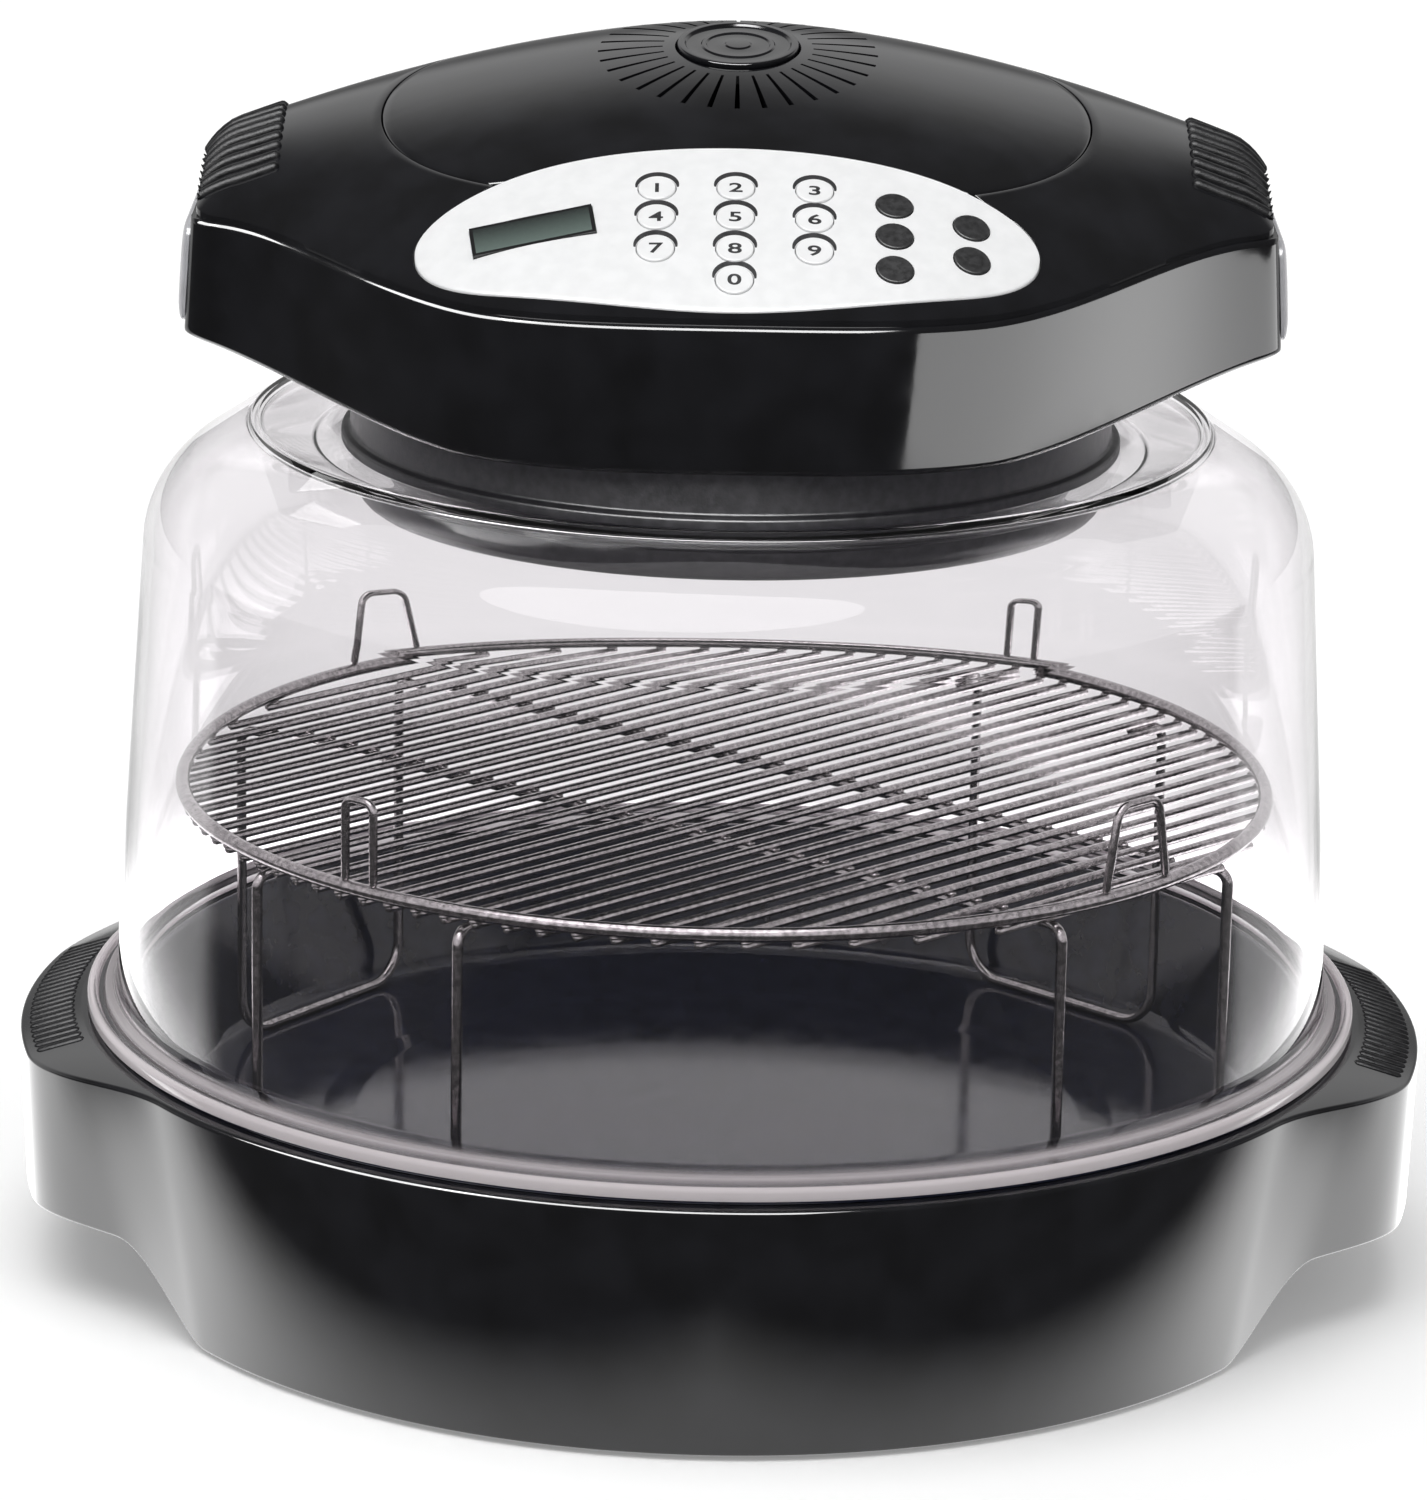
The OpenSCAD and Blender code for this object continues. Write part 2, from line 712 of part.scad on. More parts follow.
function tip_curve(x, l, p) = 0.5 + 0.5 * cos(180 * pow(min(1, abs(x) / l), p));
function seam_y(x) = blend(grip_half_w, head_half_w, tip_curve(x, head_half_l, 1.8));
function low_y(x) = blend(grip_half_w, head_half_w, tip_curve(x, head_half_l + tip_out, 1.6)) - 1;
function rim_z(x) = seam_z + seam_lift * smooth((abs(x) - lift_start) / (head_half_l - lift_start));
function low_z(x) = head_z
  + tip_lift * pow(max(0, (abs(x) - tip_start) / (head_half_l + tip_out - tip_start)), 1.4);
function ridge_y(x) = ridge_back - ridge_shift * abs(x) / head_half_l;
function nose(x) = let (t = max(0, abs(x) - nose_start) / nose_l) sqrt(max(0, 1 - t * t));
function ridge_z(x) = crown_z - end_slope * pow(abs(x) / (head_half_l - 7), 1.75);
function arch(t) = pow(max(0, 1 - pow(t, 1.6)), 0.87);
function slant(x) = let (d = (seam_y(x + 0.5) - seam_y(x - 0.5))) sqrt(1 + d * d);

// Height of the cover's outer surface over a point
function cover_z(x, y) = let (r = ridge_y(x), t = min(1, abs(y - r) / (seam_y(x) + (y < r ? r : -r))))
  rim_z(x) + (ridge_z(x) - rim_z(x)) * nose(x) * arch(t);

// Outward direction of the cover's surface over a point
function cover_normal(x, y) = let (d = 0.5)
  unit([cover_z(x - d, y) - cover_z(x + d, y), cover_z(x, y - d) - cover_z(x, y + d), 2 * d]);

function cover_point(p) = [p[0], p[1], cover_z(p[0], p[1])];

// Layer that follows the cover's surface between two heights measured from it; every second line
// along X can stand higher as a rib
module surface_layer(xs, ys, hi, lo, rib = 0) {
  m = len(ys);
  n = len(xs);
  top = [for (x = xs, j = [0:m - 1]) [x, ys[j], cover_z(x, ys[j]) + hi + (j % 2) * rib]];
  bottom = [for (x = xs, y = ys) [x, y, cover_z(x, y) + lo]];
  s = n * m;
  cells = [for (i = [0:n - 2], j = [0:m - 2]) let (a = i * m + j, b = a + m)
    each [[a, b + 1, b], [a, a + 1, b + 1], [s + a, s + b, s + b + 1], [s + a, s + b + 1, s + a + 1]]];
  left = [for (j = [0:m - 2]) each [[j, s + j + 1, j + 1], [j, s + j, s + j + 1]]];
  right = [for (j = [0:m - 2]) let (a = (n - 1) * m + j) each [[a, a + 1, s + a + 1], [a, s + a + 1, s + a]]];
  front = [for (i = [0:n - 2]) let (a = i * m) each [[a, a + m, s + a + m], [a, s + a + m, s + a]]];
  back = [for (i = [0:n - 2]) let (a = i * m + m - 1) each [[a, s + a + m, a + m], [a, s + a, s + a + m]]];
  polyhedron(concat(top, bottom), concat(cells, left, right, front, back));
}

// Head housing

head_steps = [for (i = [-22:22]) i / 22];

module housing_body() {
  stack([for (u = head_steps) let (xb = (head_half_l + tip_out) * u, xt = head_half_l * u,
      y = low_y(xb), z = low_z(xb), r = 1.5)
    [[xb, -y + r, z], [xb, y - r, z], [xb, y, z + r], [xt, seam_y(xt), rim_z(xt)],
    [xt, -seam_y(xt), rim_z(xt)], [xb, -y, z + r]]]);
}

module housing_hollow() {
  inset = head_wall / head_half_l;
  stack([for (u = head_steps) let (v = u * (1 - inset), xb = (head_half_l + tip_out) * v,
      xt = head_half_l * v, w = head_wall * slant(xt), y = low_y(xb) - w, z = low_z(xb) + floor_t)
    [[xb, -y, z], [xb, y, z], [xt, seam_y(xt) - w, rim_z(xt) + 1], [xt, w - seam_y(xt), rim_z(xt) + 1]]]);
}

module post_places() {
  for (x = [-1, 1], y = [-1, 1])
    translate([x * (board_l / 2 - 5), panel_y + y * (board_d / 2 - 8), 0])
      children();
}

module lower_housing() {
  color(black)
    difference() {
      union() {
        difference() {
          housing_body();
          housing_hollow();
        }
        post_places()
          translate([0, 0, head_z + floor_t - 1])
            cylinder(h = board_z - head_z - floor_t + 1, r = post_r, $fn = 32);
      }
      translate([0, 0, head_z - 1])
        cylinder(h = floor_t + 2, r = shaft_r + 3);
      bowl_screw_places()
        translate([0, 0, head_z - 1])
          cylinder(h = floor_t + 7, r = screw_r + screw_fit, $fn = 24);
      post_places()
        translate([0, 0, board_z - 8])
          cylinder(h = 10, r = 1, $fn = 16);
      translate([0, head_half_w - 12, inlet_z])
        rotate([-90, 0, 0])
          cylinder(h = 20, r = inlet_r + 0.2);
    }
}

module power_inlet() {
  color(rubber)
    translate([0, head_half_w, inlet_z])
      rotate([-90, 0, 0])
        difference() {
          union() {
            translate([0, 0, -7])
              cylinder(h = 10, r = inlet_r);
            translate([0, 0, 0.2])
              cylinder(h = 3, r = inlet_r + 3);
          }
          translate([0, 0, -8])
            cylinder(h = 14, r = inlet_r / 2);
        }
}

// Panel's outline, grown all round by a margin
module panel_outline(margin) {
  n = 24;
  back = arc(0, 0, 1, 0, 180, n);
  front = arc(0, 0, 1, 180, 360, n);
  a = panel_half_l + margin;
  translate([panel_x, panel_y])
    polygon(concat([for (i = [0:n - 1]) [a * back[i][0], (panel_back + margin) * back[i][1]]],
      [for (i = [0:n - 1]) [a * front[i][0], (panel_front + margin) * front[i][1]]]));
}

// Outline of the raised crown, grown all round by a margin
module crown_outline(margin) {
  translate([0, crown_y])
    polygon([for (a = [0:7.5:352.5])
      [(crown_half_l + margin) * cos(a), (crown_half_w + margin) * sin(a)]]);
}

// Upright column through the whole cover
module column() {
  translate([0, 0, seam_z - 10])
    linear_extrude(crown_rise + 30)
      children();
}

cover_steps = concat([-1, -0.992, -0.98, -0.965, -0.945, -0.92], [for (i = [-14:14]) i / 16],
  [0.92, 0.945, 0.965, 0.98, 0.992, 1]);

// Arch over one section of the cover, from the back edge over the ridge to the front and inside again
function cover_ring(x) = let (n = 12, w = head_wall * slant(x), r = ridge_y(x), e = seam_y(x),
    z = rim_z(x), h = (ridge_z(x) - z) * nose(x), inside = abs(x) < head_half_l - head_wall - 0.1)
  concat(
    [for (j = [n:-1:-n]) let (t = abs(j) / n) [x, r + (j < 0 ? -(e + r) : e - r) * t, z + h * arch(t)]],
    [for (j = [-n:n]) let (t = abs(j) / n)
      [x, r + (j < 0 ? -(e - w + r) : e - w - r) * t, inside ? z + max(0, h - shell_t) * arch(t) : z]]);

module cover_shell() {
  stack([for (u = cover_steps) cover_ring(head_half_l * u)]);
}

module top_cover() {
  color(black)
    resize([2 * head_half_l, 0, 0])
      difference() {
        cover_shell();
        column() {
          panel_outline(seam_gap);
          crown_outline(seam_gap);
        }
      }
}

module at_surface(p) {
  translate(cover_point(p))
    along(cover_normal(p[0], p[1]))
      children();
}

module crown_cap() {
  color(black)
    resize([2 * crown_half_l, 0, 0])
      difference() {
        intersection() {
          surface_layer([for (i = [-10:10]) (crown_half_l + 2) * i / 10],
            [for (i = [-9:9]) crown_y + (crown_half_w + 6) * i / 9], 0, -shell_t);
          column()
            difference() {
              crown_outline(0);
              panel_outline(seam_gap);
            }
        }
        at_surface(vent_place) {
          translate([0, 0, -10])
            cylinder(h = 20, r = vent_r + seam_gap);
          for (i = [0:31])
            rotate([0, 0, i * 11.25])
              translate([vent_r + 4, -0.7, -10])
                cube([18, 1.4, 20]);
        }
      }
}

module vent_disc() {
  color(black)
    at_surface(vent_place)
      translate([0, 0, -2.5])
        cylinder(h = 3.2, r = vent_r);
}

// Ribbed pad over one end grip; side is -1 or 1
module grip_pad(side) {
  near_x = head_half_l - 26;
  first_y = 9 - grip_half_w;
  ribs = floor((2 * grip_half_w - 13) / rib_pitch);
  ys = [for (j = [0:2 * ribs]) first_y + j * rib_pitch / 2];
  nose_steps = [for (u = cover_steps) if (u * head_half_l > nose_start && u < 1) u * head_half_l];
  xs = concat([for (f = [0:1 / 3:1]) blend(near_x, nose_start, f)], nose_steps);
  color(rubber)
    mirror([side < 0 ? 1 : 0, 0, 0])
      surface_layer(xs, ys, pad_t, seam_gap, rib_h);
}

// Convex cap over one end of the housing; side is -1 or 1
module end_cap(side) {
  low = low_z(head_half_l + tip_out) + 2.5;
  high = rim_z(head_half_l) - 1.5;
  lean = atan(tip_out / (rim_z(head_half_l) - low_z(head_half_l + tip_out)));
  w = 2 * (grip_half_w - 4);
  h = high - low;
  color(charcoal)
    mirror([side < 0 ? 1 : 0, 0, 0])
      translate([head_half_l + tip_out + cap_gap, 0, low_z(head_half_l + tip_out)])
        rotate([0, -lean, 0])
          translate([0, 0, low - low_z(head_half_l + tip_out) + h / 2])
            rotate([0, 90, 0])
              hull() {
                linear_extrude(0.8)
                  round_plate(h, w, 6);
                linear_extrude(2.6)
                  round_plate(h - 8, w - 12, 4);
              }
}

module round_plate(a, b, r) {
  polygon(concat(arc(a / 2 - r, b / 2 - r, r, 0, 90, 5), arc(r - a / 2, b / 2 - r, r, 90, 180, 5),
    arc(r - a / 2, r - b / 2, r, 180, 270, 5), arc(a / 2 - r, r - b / 2, r, 270, 360, 5)));
}

// Controls

module panel_plate() {
  color(white)
    difference() {
      intersection() {
        surface_layer([for (i = [-9:9]) panel_x + (panel_half_l + 3) * i / 9],
          [for (i = [0:10]) blend(panel_y - panel_front - 0.5, panel_y + panel_back + 1, i / 10)],
          panel_hi, panel_lo);
        column()
          panel_outline(0);
      }
      for (p = key_places)
        at_surface(p)
          translate([0, 0, -6])
            cylinder(h = 12, r = key_r + key_fit, $fn = 48);
      at_surface(lcd_place)
        rotate([0, 0, lcd_turn])
          cube([lcd_w + 0.4, lcd_d + 0.4, 12], center = true);
    }
}

module key(i) {
  color(i > 9 ? black : white)
    at_surface(key_places[i])
      translate([0, 0, panel_hi + key_proud - key_len])
        cylinder(h = key_len, r = key_r, $fn = 48);
}

module keypad_membrane() {
  left = lcd_place[0] + lcd_w / 2 + 5;
  color(rubber)
    intersection() {
      surface_layer([for (i = [0:11]) blend(left, panel_half_l, i / 11)],
        [for (i = [0:8]) blend(panel_y - panel_front, panel_y + panel_back, i / 8)],
        membrane_hi, membrane_lo);
      column()
        panel_outline(-3);
    }
}

module lcd_window() {
  color([0.3, 0.36, 0.34])
    at_surface(lcd_place)
      rotate([0, 0, lcd_turn])
        translate([-lcd_w / 2, -lcd_d / 2, -1.2])
          cube([lcd_w, lcd_d, 1.4]);
}

module lcd_module() {
  color(board_green)
    at_surface(lcd_place)
      rotate([0, 0, lcd_turn])
        translate([-lcd_w / 2 - 2, -lcd_d / 2 - 2, -6.8])
          cube([lcd_w + 4, lcd_d + 4, 3.6]);
}

module control_board() {
  color(board_green)
    difference() {
      union() {
        translate([-board_l / 2, panel_y - board_d / 2, board_z])
          cube([board_l, board_d, board_t]);
        translate([-40, -94, board_z + board_t - 0.5])
          cube([24, 18, 9.5]);
        translate([10, -92, board_z + board_t - 0.5])
          cube([14, 14, 4.5]);
      }
      post_places()
        translate([0, 0, board_z - 1])
          cylinder(h = board_t + 2, r = 1.2, $fn = 16);
    }
}

module board_screws() {
  color(steel)
    post_places()
      union() {
        translate([0, 0, board_z + board_t])
          cylinder(h = 1.4, r = 2.4, $fn = 24);
        translate([0, 0, board_z - 6])
          cylinder(h = 7 + board_t, r = 0.95, $fn = 16);
      }
}

base_shell();
base_feet();
foot_screws();
liner_pan();
rack_rim();
rack_rods();
rack_crossbars();
rack_leg(leg_angles[0]);  // rack_leg_1
rack_leg(leg_angles[1]);  // rack_leg_2
rack_leg(leg_angles[2]);  // rack_leg_3
rack_leg(leg_angles[3]);  // rack_leg_4
rack_hook(0);  // rack_hook_1
rack_hook(1);  // rack_hook_2
rack_hook(2);  // rack_hook_3
rack_hook(3);  // rack_hook_4
dome();
heater_bowl();
reflector_dish();
heater_tube();
heater_block();
heater_clips();
fan_guard();
bowl_screws();
circulation_fan();
motor_shaft();
motor_can();
motor_rotor();
motor_bracket();
cooling_fan();
insulation_pad();
lower_housing();
top_cover();
crown_cap();
vent_disc();
grip_pad(-1);  // grip_pad_left
grip_pad(1);  // grip_pad_right
end_cap(-1);  // end_cap_left
end_cap(1);  // end_cap_right
power_inlet();
control_board();
board_screws();
panel_plate();
keypad_membrane();
lcd_window();
lcd_module();
key(0);  // key_0
key(1);  // key_1
key(2);  // key_2
key(3);  // key_3
key(4);  // key_4
key(5);  // key_5
key(6);  // key_6
key(7);  // key_7
key(8);  // key_8
key(9);  // key_9
key(10);  // function_key_1
key(11);  // function_key_2
key(12);  // function_key_3
key(13);  // function_key_4
key(14);  // function_key_5
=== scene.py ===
from math import asin, atan2, cos, hypot, pi, radians, sin, sqrt, tan

import bpy
from mathutils import Matrix, Vector


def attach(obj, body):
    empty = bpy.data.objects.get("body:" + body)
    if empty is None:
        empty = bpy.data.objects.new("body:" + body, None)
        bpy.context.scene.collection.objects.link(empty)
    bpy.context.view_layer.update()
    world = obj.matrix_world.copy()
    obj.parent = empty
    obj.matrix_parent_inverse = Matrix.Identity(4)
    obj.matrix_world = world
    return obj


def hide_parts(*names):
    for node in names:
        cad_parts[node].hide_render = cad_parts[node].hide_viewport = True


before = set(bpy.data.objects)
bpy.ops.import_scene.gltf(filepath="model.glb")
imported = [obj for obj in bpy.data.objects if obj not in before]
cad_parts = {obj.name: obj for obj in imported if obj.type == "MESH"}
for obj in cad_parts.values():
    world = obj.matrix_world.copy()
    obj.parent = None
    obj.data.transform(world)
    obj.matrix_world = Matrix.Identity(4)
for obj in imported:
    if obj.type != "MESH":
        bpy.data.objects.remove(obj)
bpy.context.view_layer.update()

MM = 0.001
scene = bpy.context.scene
scene.view_settings.view_transform = "Standard"
bpy.ops.object.select_all(action="DESELECT")

# Camera: a long lens a little above the oven's rim, turned about one degree, as the photographer
# had it.
camera_place = Vector((-3.2, -1929.8, 692.9)) * MM
camera_tilt = 15.74
camera_roll = 1.07
bpy.ops.object.camera_add()
camera = bpy.context.object
camera.name = "Camera"
camera.data.lens = 168
camera.data.sensor_width = 36
camera.data.clip_end = 30
camera.matrix_world = (Matrix.Translation(camera_place)
    @ Matrix.Rotation(radians(90 - camera_tilt), 4, "X")
    @ Matrix.Rotation(radians(camera_roll), 4, "Z"))
scene.camera = camera

# Studio: an even white sweep. The oven stands on a white table under one broad soft lamp. Gloss
# sees a bright room behind and a dim one in front, a table that glows for gloss alone as a
# painted reflection, with painted shade before the oven and painted light at its sides, and three
# cards: beside the head, high in front and high on the left.
ROOM_LIGHT = 0.55
TABLE_WHITE = 0.86
TABLE_GLOW = 0.2
CARD_LIGHT = 22.0


def node(tree, kind, **values):
    """Adds a node, and sets its attributes and, by number or name, the inputs given for it."""
    new = tree.nodes.new("ShaderNode" + kind)
    for key, value in values.items():
        if key == "inputs":
            for socket, given in value.items():
                if isinstance(given, bpy.types.NodeSocket):
                    tree.links.new(given, new.inputs[socket])
                else:
                    new.inputs[socket].default_value = given
        else:
            setattr(new, key, value)
    return new


def math(tree, operation, *terms):
    """Adds a Math node with its terms."""
    return node(tree, "Math", operation=operation, inputs=dict(enumerate(terms)))


def noise(tree, place, scale, detail):
    """Adds a noise texture at a place."""
    return node(tree, "TexNoise", inputs={"Vector": place, "Scale": scale, "Detail": detail})


def seen_rays(tree):
    """Adds the Light Path node, and 1 for rays that come from the camera, also through glass."""
    rays = node(tree, "LightPath")
    return rays, math(tree, "MAXIMUM",
        rays.outputs["Is Camera Ray"], rays.outputs["Is Transmission Ray"])


def shades(ramp, *stops):
    """Gives a colour ramp its stops, each a place and a shade of grey, with soft steps between."""
    ramp.color_ramp.interpolation = "EASE"
    elements = ramp.color_ramp.elements
    elements.remove(elements[1])
    elements[0].position = stops[0][0]
    for place, shade in stops[1:]:
        elements.new(place)
    for element, (place, shade) in zip(elements, stops):
        element.color = (shade, shade, shade, 1)


world = bpy.data.worlds.new("Studio room")
scene.world = world
world.use_nodes = True
tree = world.node_tree
tree.nodes.clear()
rays, seen = seen_rays(tree)
way = node(tree, "SeparateXYZ", inputs={0: node(tree, "TexCoord").outputs["Generated"]})
lean = math(tree, "MULTIPLY_ADD", way.outputs["Z"], -0.8, way.outputs["Y"])
gloss = node(tree, "ValToRGB", inputs={0: lean.outputs[0]})
shades(gloss, (0.0, 0.14), (0.4, 0.9), (0.56, 0.9), (0.76, 0.28))
plain = node(tree, "MapRange", inputs={
    "Value": rays.outputs["Is Glossy Ray"], "To Min": ROOM_LIGHT, "To Max": gloss.outputs[0]})
level = node(tree, "MapRange", inputs={
    "Value": seen.outputs[0], "To Min": plain.outputs[0], "To Max": 1.0})
sky = node(tree, "Background", inputs={"Color": (1, 1, 1, 1), "Strength": level.outputs[0]})
tree.links.new(sky.outputs[0], node(tree, "OutputWorld").inputs[0])

bpy.ops.mesh.primitive_plane_add(size=14)
table = bpy.context.object
table.name = "Table"
white = bpy.data.materials.new("Table white")
white.use_nodes = True
tree = white.node_tree
tree.nodes.clear()
rays, seen = seen_rays(tree)
glow = math(tree, "MULTIPLY", seen.outputs[0], TABLE_GLOW)
matt = node(tree, "BsdfDiffuse", inputs={"Color": (TABLE_WHITE, TABLE_WHITE, TABLE_WHITE, 1)})
lift = node(tree, "Emission", inputs={"Color": (1, 1, 1, 1), "Strength": glow.outputs[0]})
both = node(tree, "AddShader", inputs={0: matt.outputs[0], 1: lift.outputs[0]})
# Painted reflection: for glossy rays the table glows, with painted shade before the oven and painted
# light at its sides.
place = node(tree, "TexCoord").outputs["Object"]
spot = node(tree, "SeparateXYZ", inputs={0: place})
wide = math(tree, "ABSOLUTE", spot.outputs["X"])
fore = math(tree, "MULTIPLY_ADD", wide.outputs[0], -0.55, spot.outputs["Y"])
far = node(tree, "VectorMath", operation="LENGTH", inputs={0: place})
sides = node(tree, "MapRange", interpolation_type="SMOOTHSTEP", inputs={
    "Value": wide.outputs[0], "From Min": 0.03, "From Max": 0.2, "To Min": 1.5, "To Max": 3.4})
fading = node(tree, "MapRange", interpolation_type="SMOOTHSTEP", inputs={
    "Value": far.outputs["Value"], "From Min": 0.34, "From Max": 0.52,
    "To Min": sides.outputs[0], "To Max": 0.9})
painted_reflection_level = node(tree, "MapRange", interpolation_type="SMOOTHSTEP", inputs={
    "Value": fore.outputs[0], "From Min": -0.26, "From Max": -0.19,
    "To Min": 0.10, "To Max": fading.outputs[0]})
painted_reflection = node(tree, "Emission", inputs={"Color": (1, 1, 1, 1), "Strength": painted_reflection_level.outputs[0]})
table_mix = node(tree, "MixShader", inputs={
    0: rays.outputs["Is Glossy Ray"], 1: both.outputs[0], 2: painted_reflection.outputs[0]})
tree.links.new(table_mix.outputs[0], node(tree, "OutputMaterial").inputs[0])
table.data.materials.append(white)

bpy.ops.object.light_add(type="SUN", rotation=(radians(14), radians(-8), 0))
lamp = bpy.context.object
lamp.name = "Overhead lamp"
lamp.data.energy = 1.55
lamp.data.angle = radians(50)
lamp.visible_glossy = False


def softbox(name, place, aim, width, height, strength):
    """Bright card that shows in gloss and doesn't light anything else."""
    bpy.ops.object.light_add(type="AREA")
    card = bpy.context.object
    card.name = name
    card.data.shape = "RECTANGLE"
    card.data.size = width
    card.data.size_y = height
    card.data.energy = strength * pi * width * height
    card.visible_diffuse = False
    card.visible_transmission = False
    card.visible_camera = False
    ahead = Vector(aim) - Vector(place)
    turned_to = ahead.to_track_quat("-Z", "Y").to_matrix().to_4x4()
    card.matrix_world = Matrix.Translation(place) @ turned_to
    return card


head_card = softbox("Head card", (0.64, -0.11, 0.12), (-0.177, 0.466, 0.12), 1.077, 0.24, 4.6)
front_card = softbox("High front card", (-0.35, -1.15, 1.2), (-0.05, -0.1, 0.25), 1.8, 1.0,
    CARD_LIGHT)
left_card = softbox("High left card", (-1.25, -0.45, 1.15), (-0.1, -0.08, 0.25), 1.2, 1.0,
    CARD_LIGHT)


# Base tray: one glossy black ABS moulding. The pan hangs in it by its rim, and the wall runs out
# into two handles with a finger space under each. Moulded ribs on the handles keep them from
# slipping.
base_r, base_foot_r, base_h = 186, 175, 75
base_wall = 3
handle_reach, handle_drop, handle_step = 15.5, 5.2, 0.4
rim_edge = 1.9
finger_h = 25
pan_rim_w, pan_lean, pan_depth, pan_room = 11, 10, 35, 2.7
pan_rim_r = base_r - 5
pan_mouth_r = pan_rim_r - pan_rim_w
pan_floor_r = pan_mouth_r - pan_lean
pan_floor_z = base_h - pan_depth
tray_z = pan_floor_z - pan_room
tray_mouth_r = pan_mouth_r + pan_room
tray_floor_r = pan_floor_r + pan_room


def smooth(t):
    """Step from 0 to 1 with soft ends."""
    t = max(0, min(1, t))
    return t * t * (3 - 2 * t)


def filleted(corners, steps=5):
    """Closed outline whose corners (a, b, r) are rounded by arcs of radius r."""
    nearly_straight = 1.56
    points = []
    for i, (a, b, r) in enumerate(corners):
        here = Vector((a, b))
        if r == 0:
            points.append(here)
            continue
        back = (Vector(corners[i - 1][:2]) - here).normalized()
        on = (Vector(corners[(i + 1) % len(corners)][:2]) - here).normalized()
        half = back.angle(on) / 2
        if half > nearly_straight:
            points += [here.copy() for k in range(steps + 1)]
            continue
        middle = here + (back + on).normalized() * r / sin(half)
        start = here + back * r / tan(half) - middle
        end = here + on * r / tan(half) - middle
        turn = pi - 2 * half
        for k in range(steps + 1):
            f = k / steps
            points.append(middle + (start * sin((1 - f) * turn) + end * sin(f * turn)) / sin(turn))
    return points


def alone(piece):
    """Makes one object the active one and the only one selected."""
    bpy.ops.object.select_all(action="DESELECT")
    piece.select_set(True)
    bpy.context.view_layer.objects.active = piece


def fresh(name, points, faces):
    """New object with a mesh given in millimetres, merged and with its faces outwards."""
    mesh = bpy.data.meshes.new(name)
    mesh.from_pydata([Vector(p) * MM for p in points], [], faces)
    made = bpy.data.objects.new(name, mesh)
    scene.collection.objects.link(made)
    alone(made)
    outwards()
    return made


def outwards():
    """Merges the active mesh's doubles and turns its faces outwards."""
    bpy.ops.object.mode_set(mode="EDIT")
    bpy.ops.mesh.select_all(action="SELECT")
    bpy.ops.mesh.remove_doubles(threshold=2e-6)
    bpy.ops.mesh.dissolve_degenerate(threshold=1e-7)
    bpy.ops.mesh.select_all(action="SELECT")
    bpy.ops.mesh.normals_make_consistent(inside=False)
    bpy.ops.object.mode_set(mode="OBJECT")


def band(name, sections, ring=True):
    """Skin through closed sections, round to the first one again, or closed at both ends."""
    n, m = len(sections), len(sections[0])
    faces = [(i * m + j, (i + 1) % n * m + j, (i + 1) % n * m + (j + 1) % m, i * m + (j + 1) % m)
        for i in range(n if ring else n - 1) for j in range(m)]
    if not ring:
        faces += [tuple(range(m)), tuple((n - 1) * m + j for j in range(m))]
    return fresh(name, [p for section in sections for p in section], faces)


def finish(name, dark, light, rough, grain, bump, fine, stretch=(1, 1, 1), **sockets):
    """Material that mottles between two colours and two roughnesses, over a fine relief."""
    made = bpy.data.materials.new(name)
    made.use_nodes = True
    tree = made.node_tree
    shader = tree.nodes["Principled BSDF"]
    for key, value in sockets.items():
        shader.inputs[key.replace("_", " ")].default_value = value
    place = node(tree, "Mapping", inputs={
        "Vector": node(tree, "TexCoord").outputs["Object"], "Scale": stretch})
    mottle = noise(tree, place.outputs[0], grain, 4.0)
    ramp = node(tree, "ValToRGB", inputs={0: mottle.outputs[0]})
    ramp.color_ramp.elements[0].position = 0.35
    ramp.color_ramp.elements[1].position = 0.65
    ramp.color_ramp.elements[0].color = (*dark, 1)
    ramp.color_ramp.elements[1].color = (*light, 1)
    tree.links.new(ramp.outputs[0], shader.inputs["Base Color"])
    wear = node(tree, "MapRange", inputs={
        "Value": mottle.outputs[0], "From Min": 0.3, "From Max": 0.7,
        "To Min": rough[0], "To Max": rough[1]})
    tree.links.new(wear.outputs[0], shader.inputs["Roughness"])
    relief = noise(tree, place.outputs[0], fine, 2.0)
    press = node(tree, "Bump", inputs={
        "Height": relief.outputs[0], "Strength": bump, "Distance": 0.0004})
    tree.links.new(press.outputs[0], shader.inputs["Normal"])
    return made


def fit(piece, material, slot, body, *replaced, angle=30):
    """Gives a finished piece smooth shading, material and body, and hides the nodes it stands for."""
    alone(piece)
    bpy.ops.object.shade_smooth_by_angle(angle=radians(angle))
    piece.data.materials.clear()
    piece.data.materials.append(material)
    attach(piece, body)
    if replaced:
        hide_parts(*replaced)


def dress(material, *names):
    """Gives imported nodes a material."""
    for name in names:
        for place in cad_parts[name].material_slots:
            place.material = material


def lobe(a):
    """Share of the handles' reach, by the angle in degrees from the middle of a handle."""
    return smooth((34 - a) / 21)


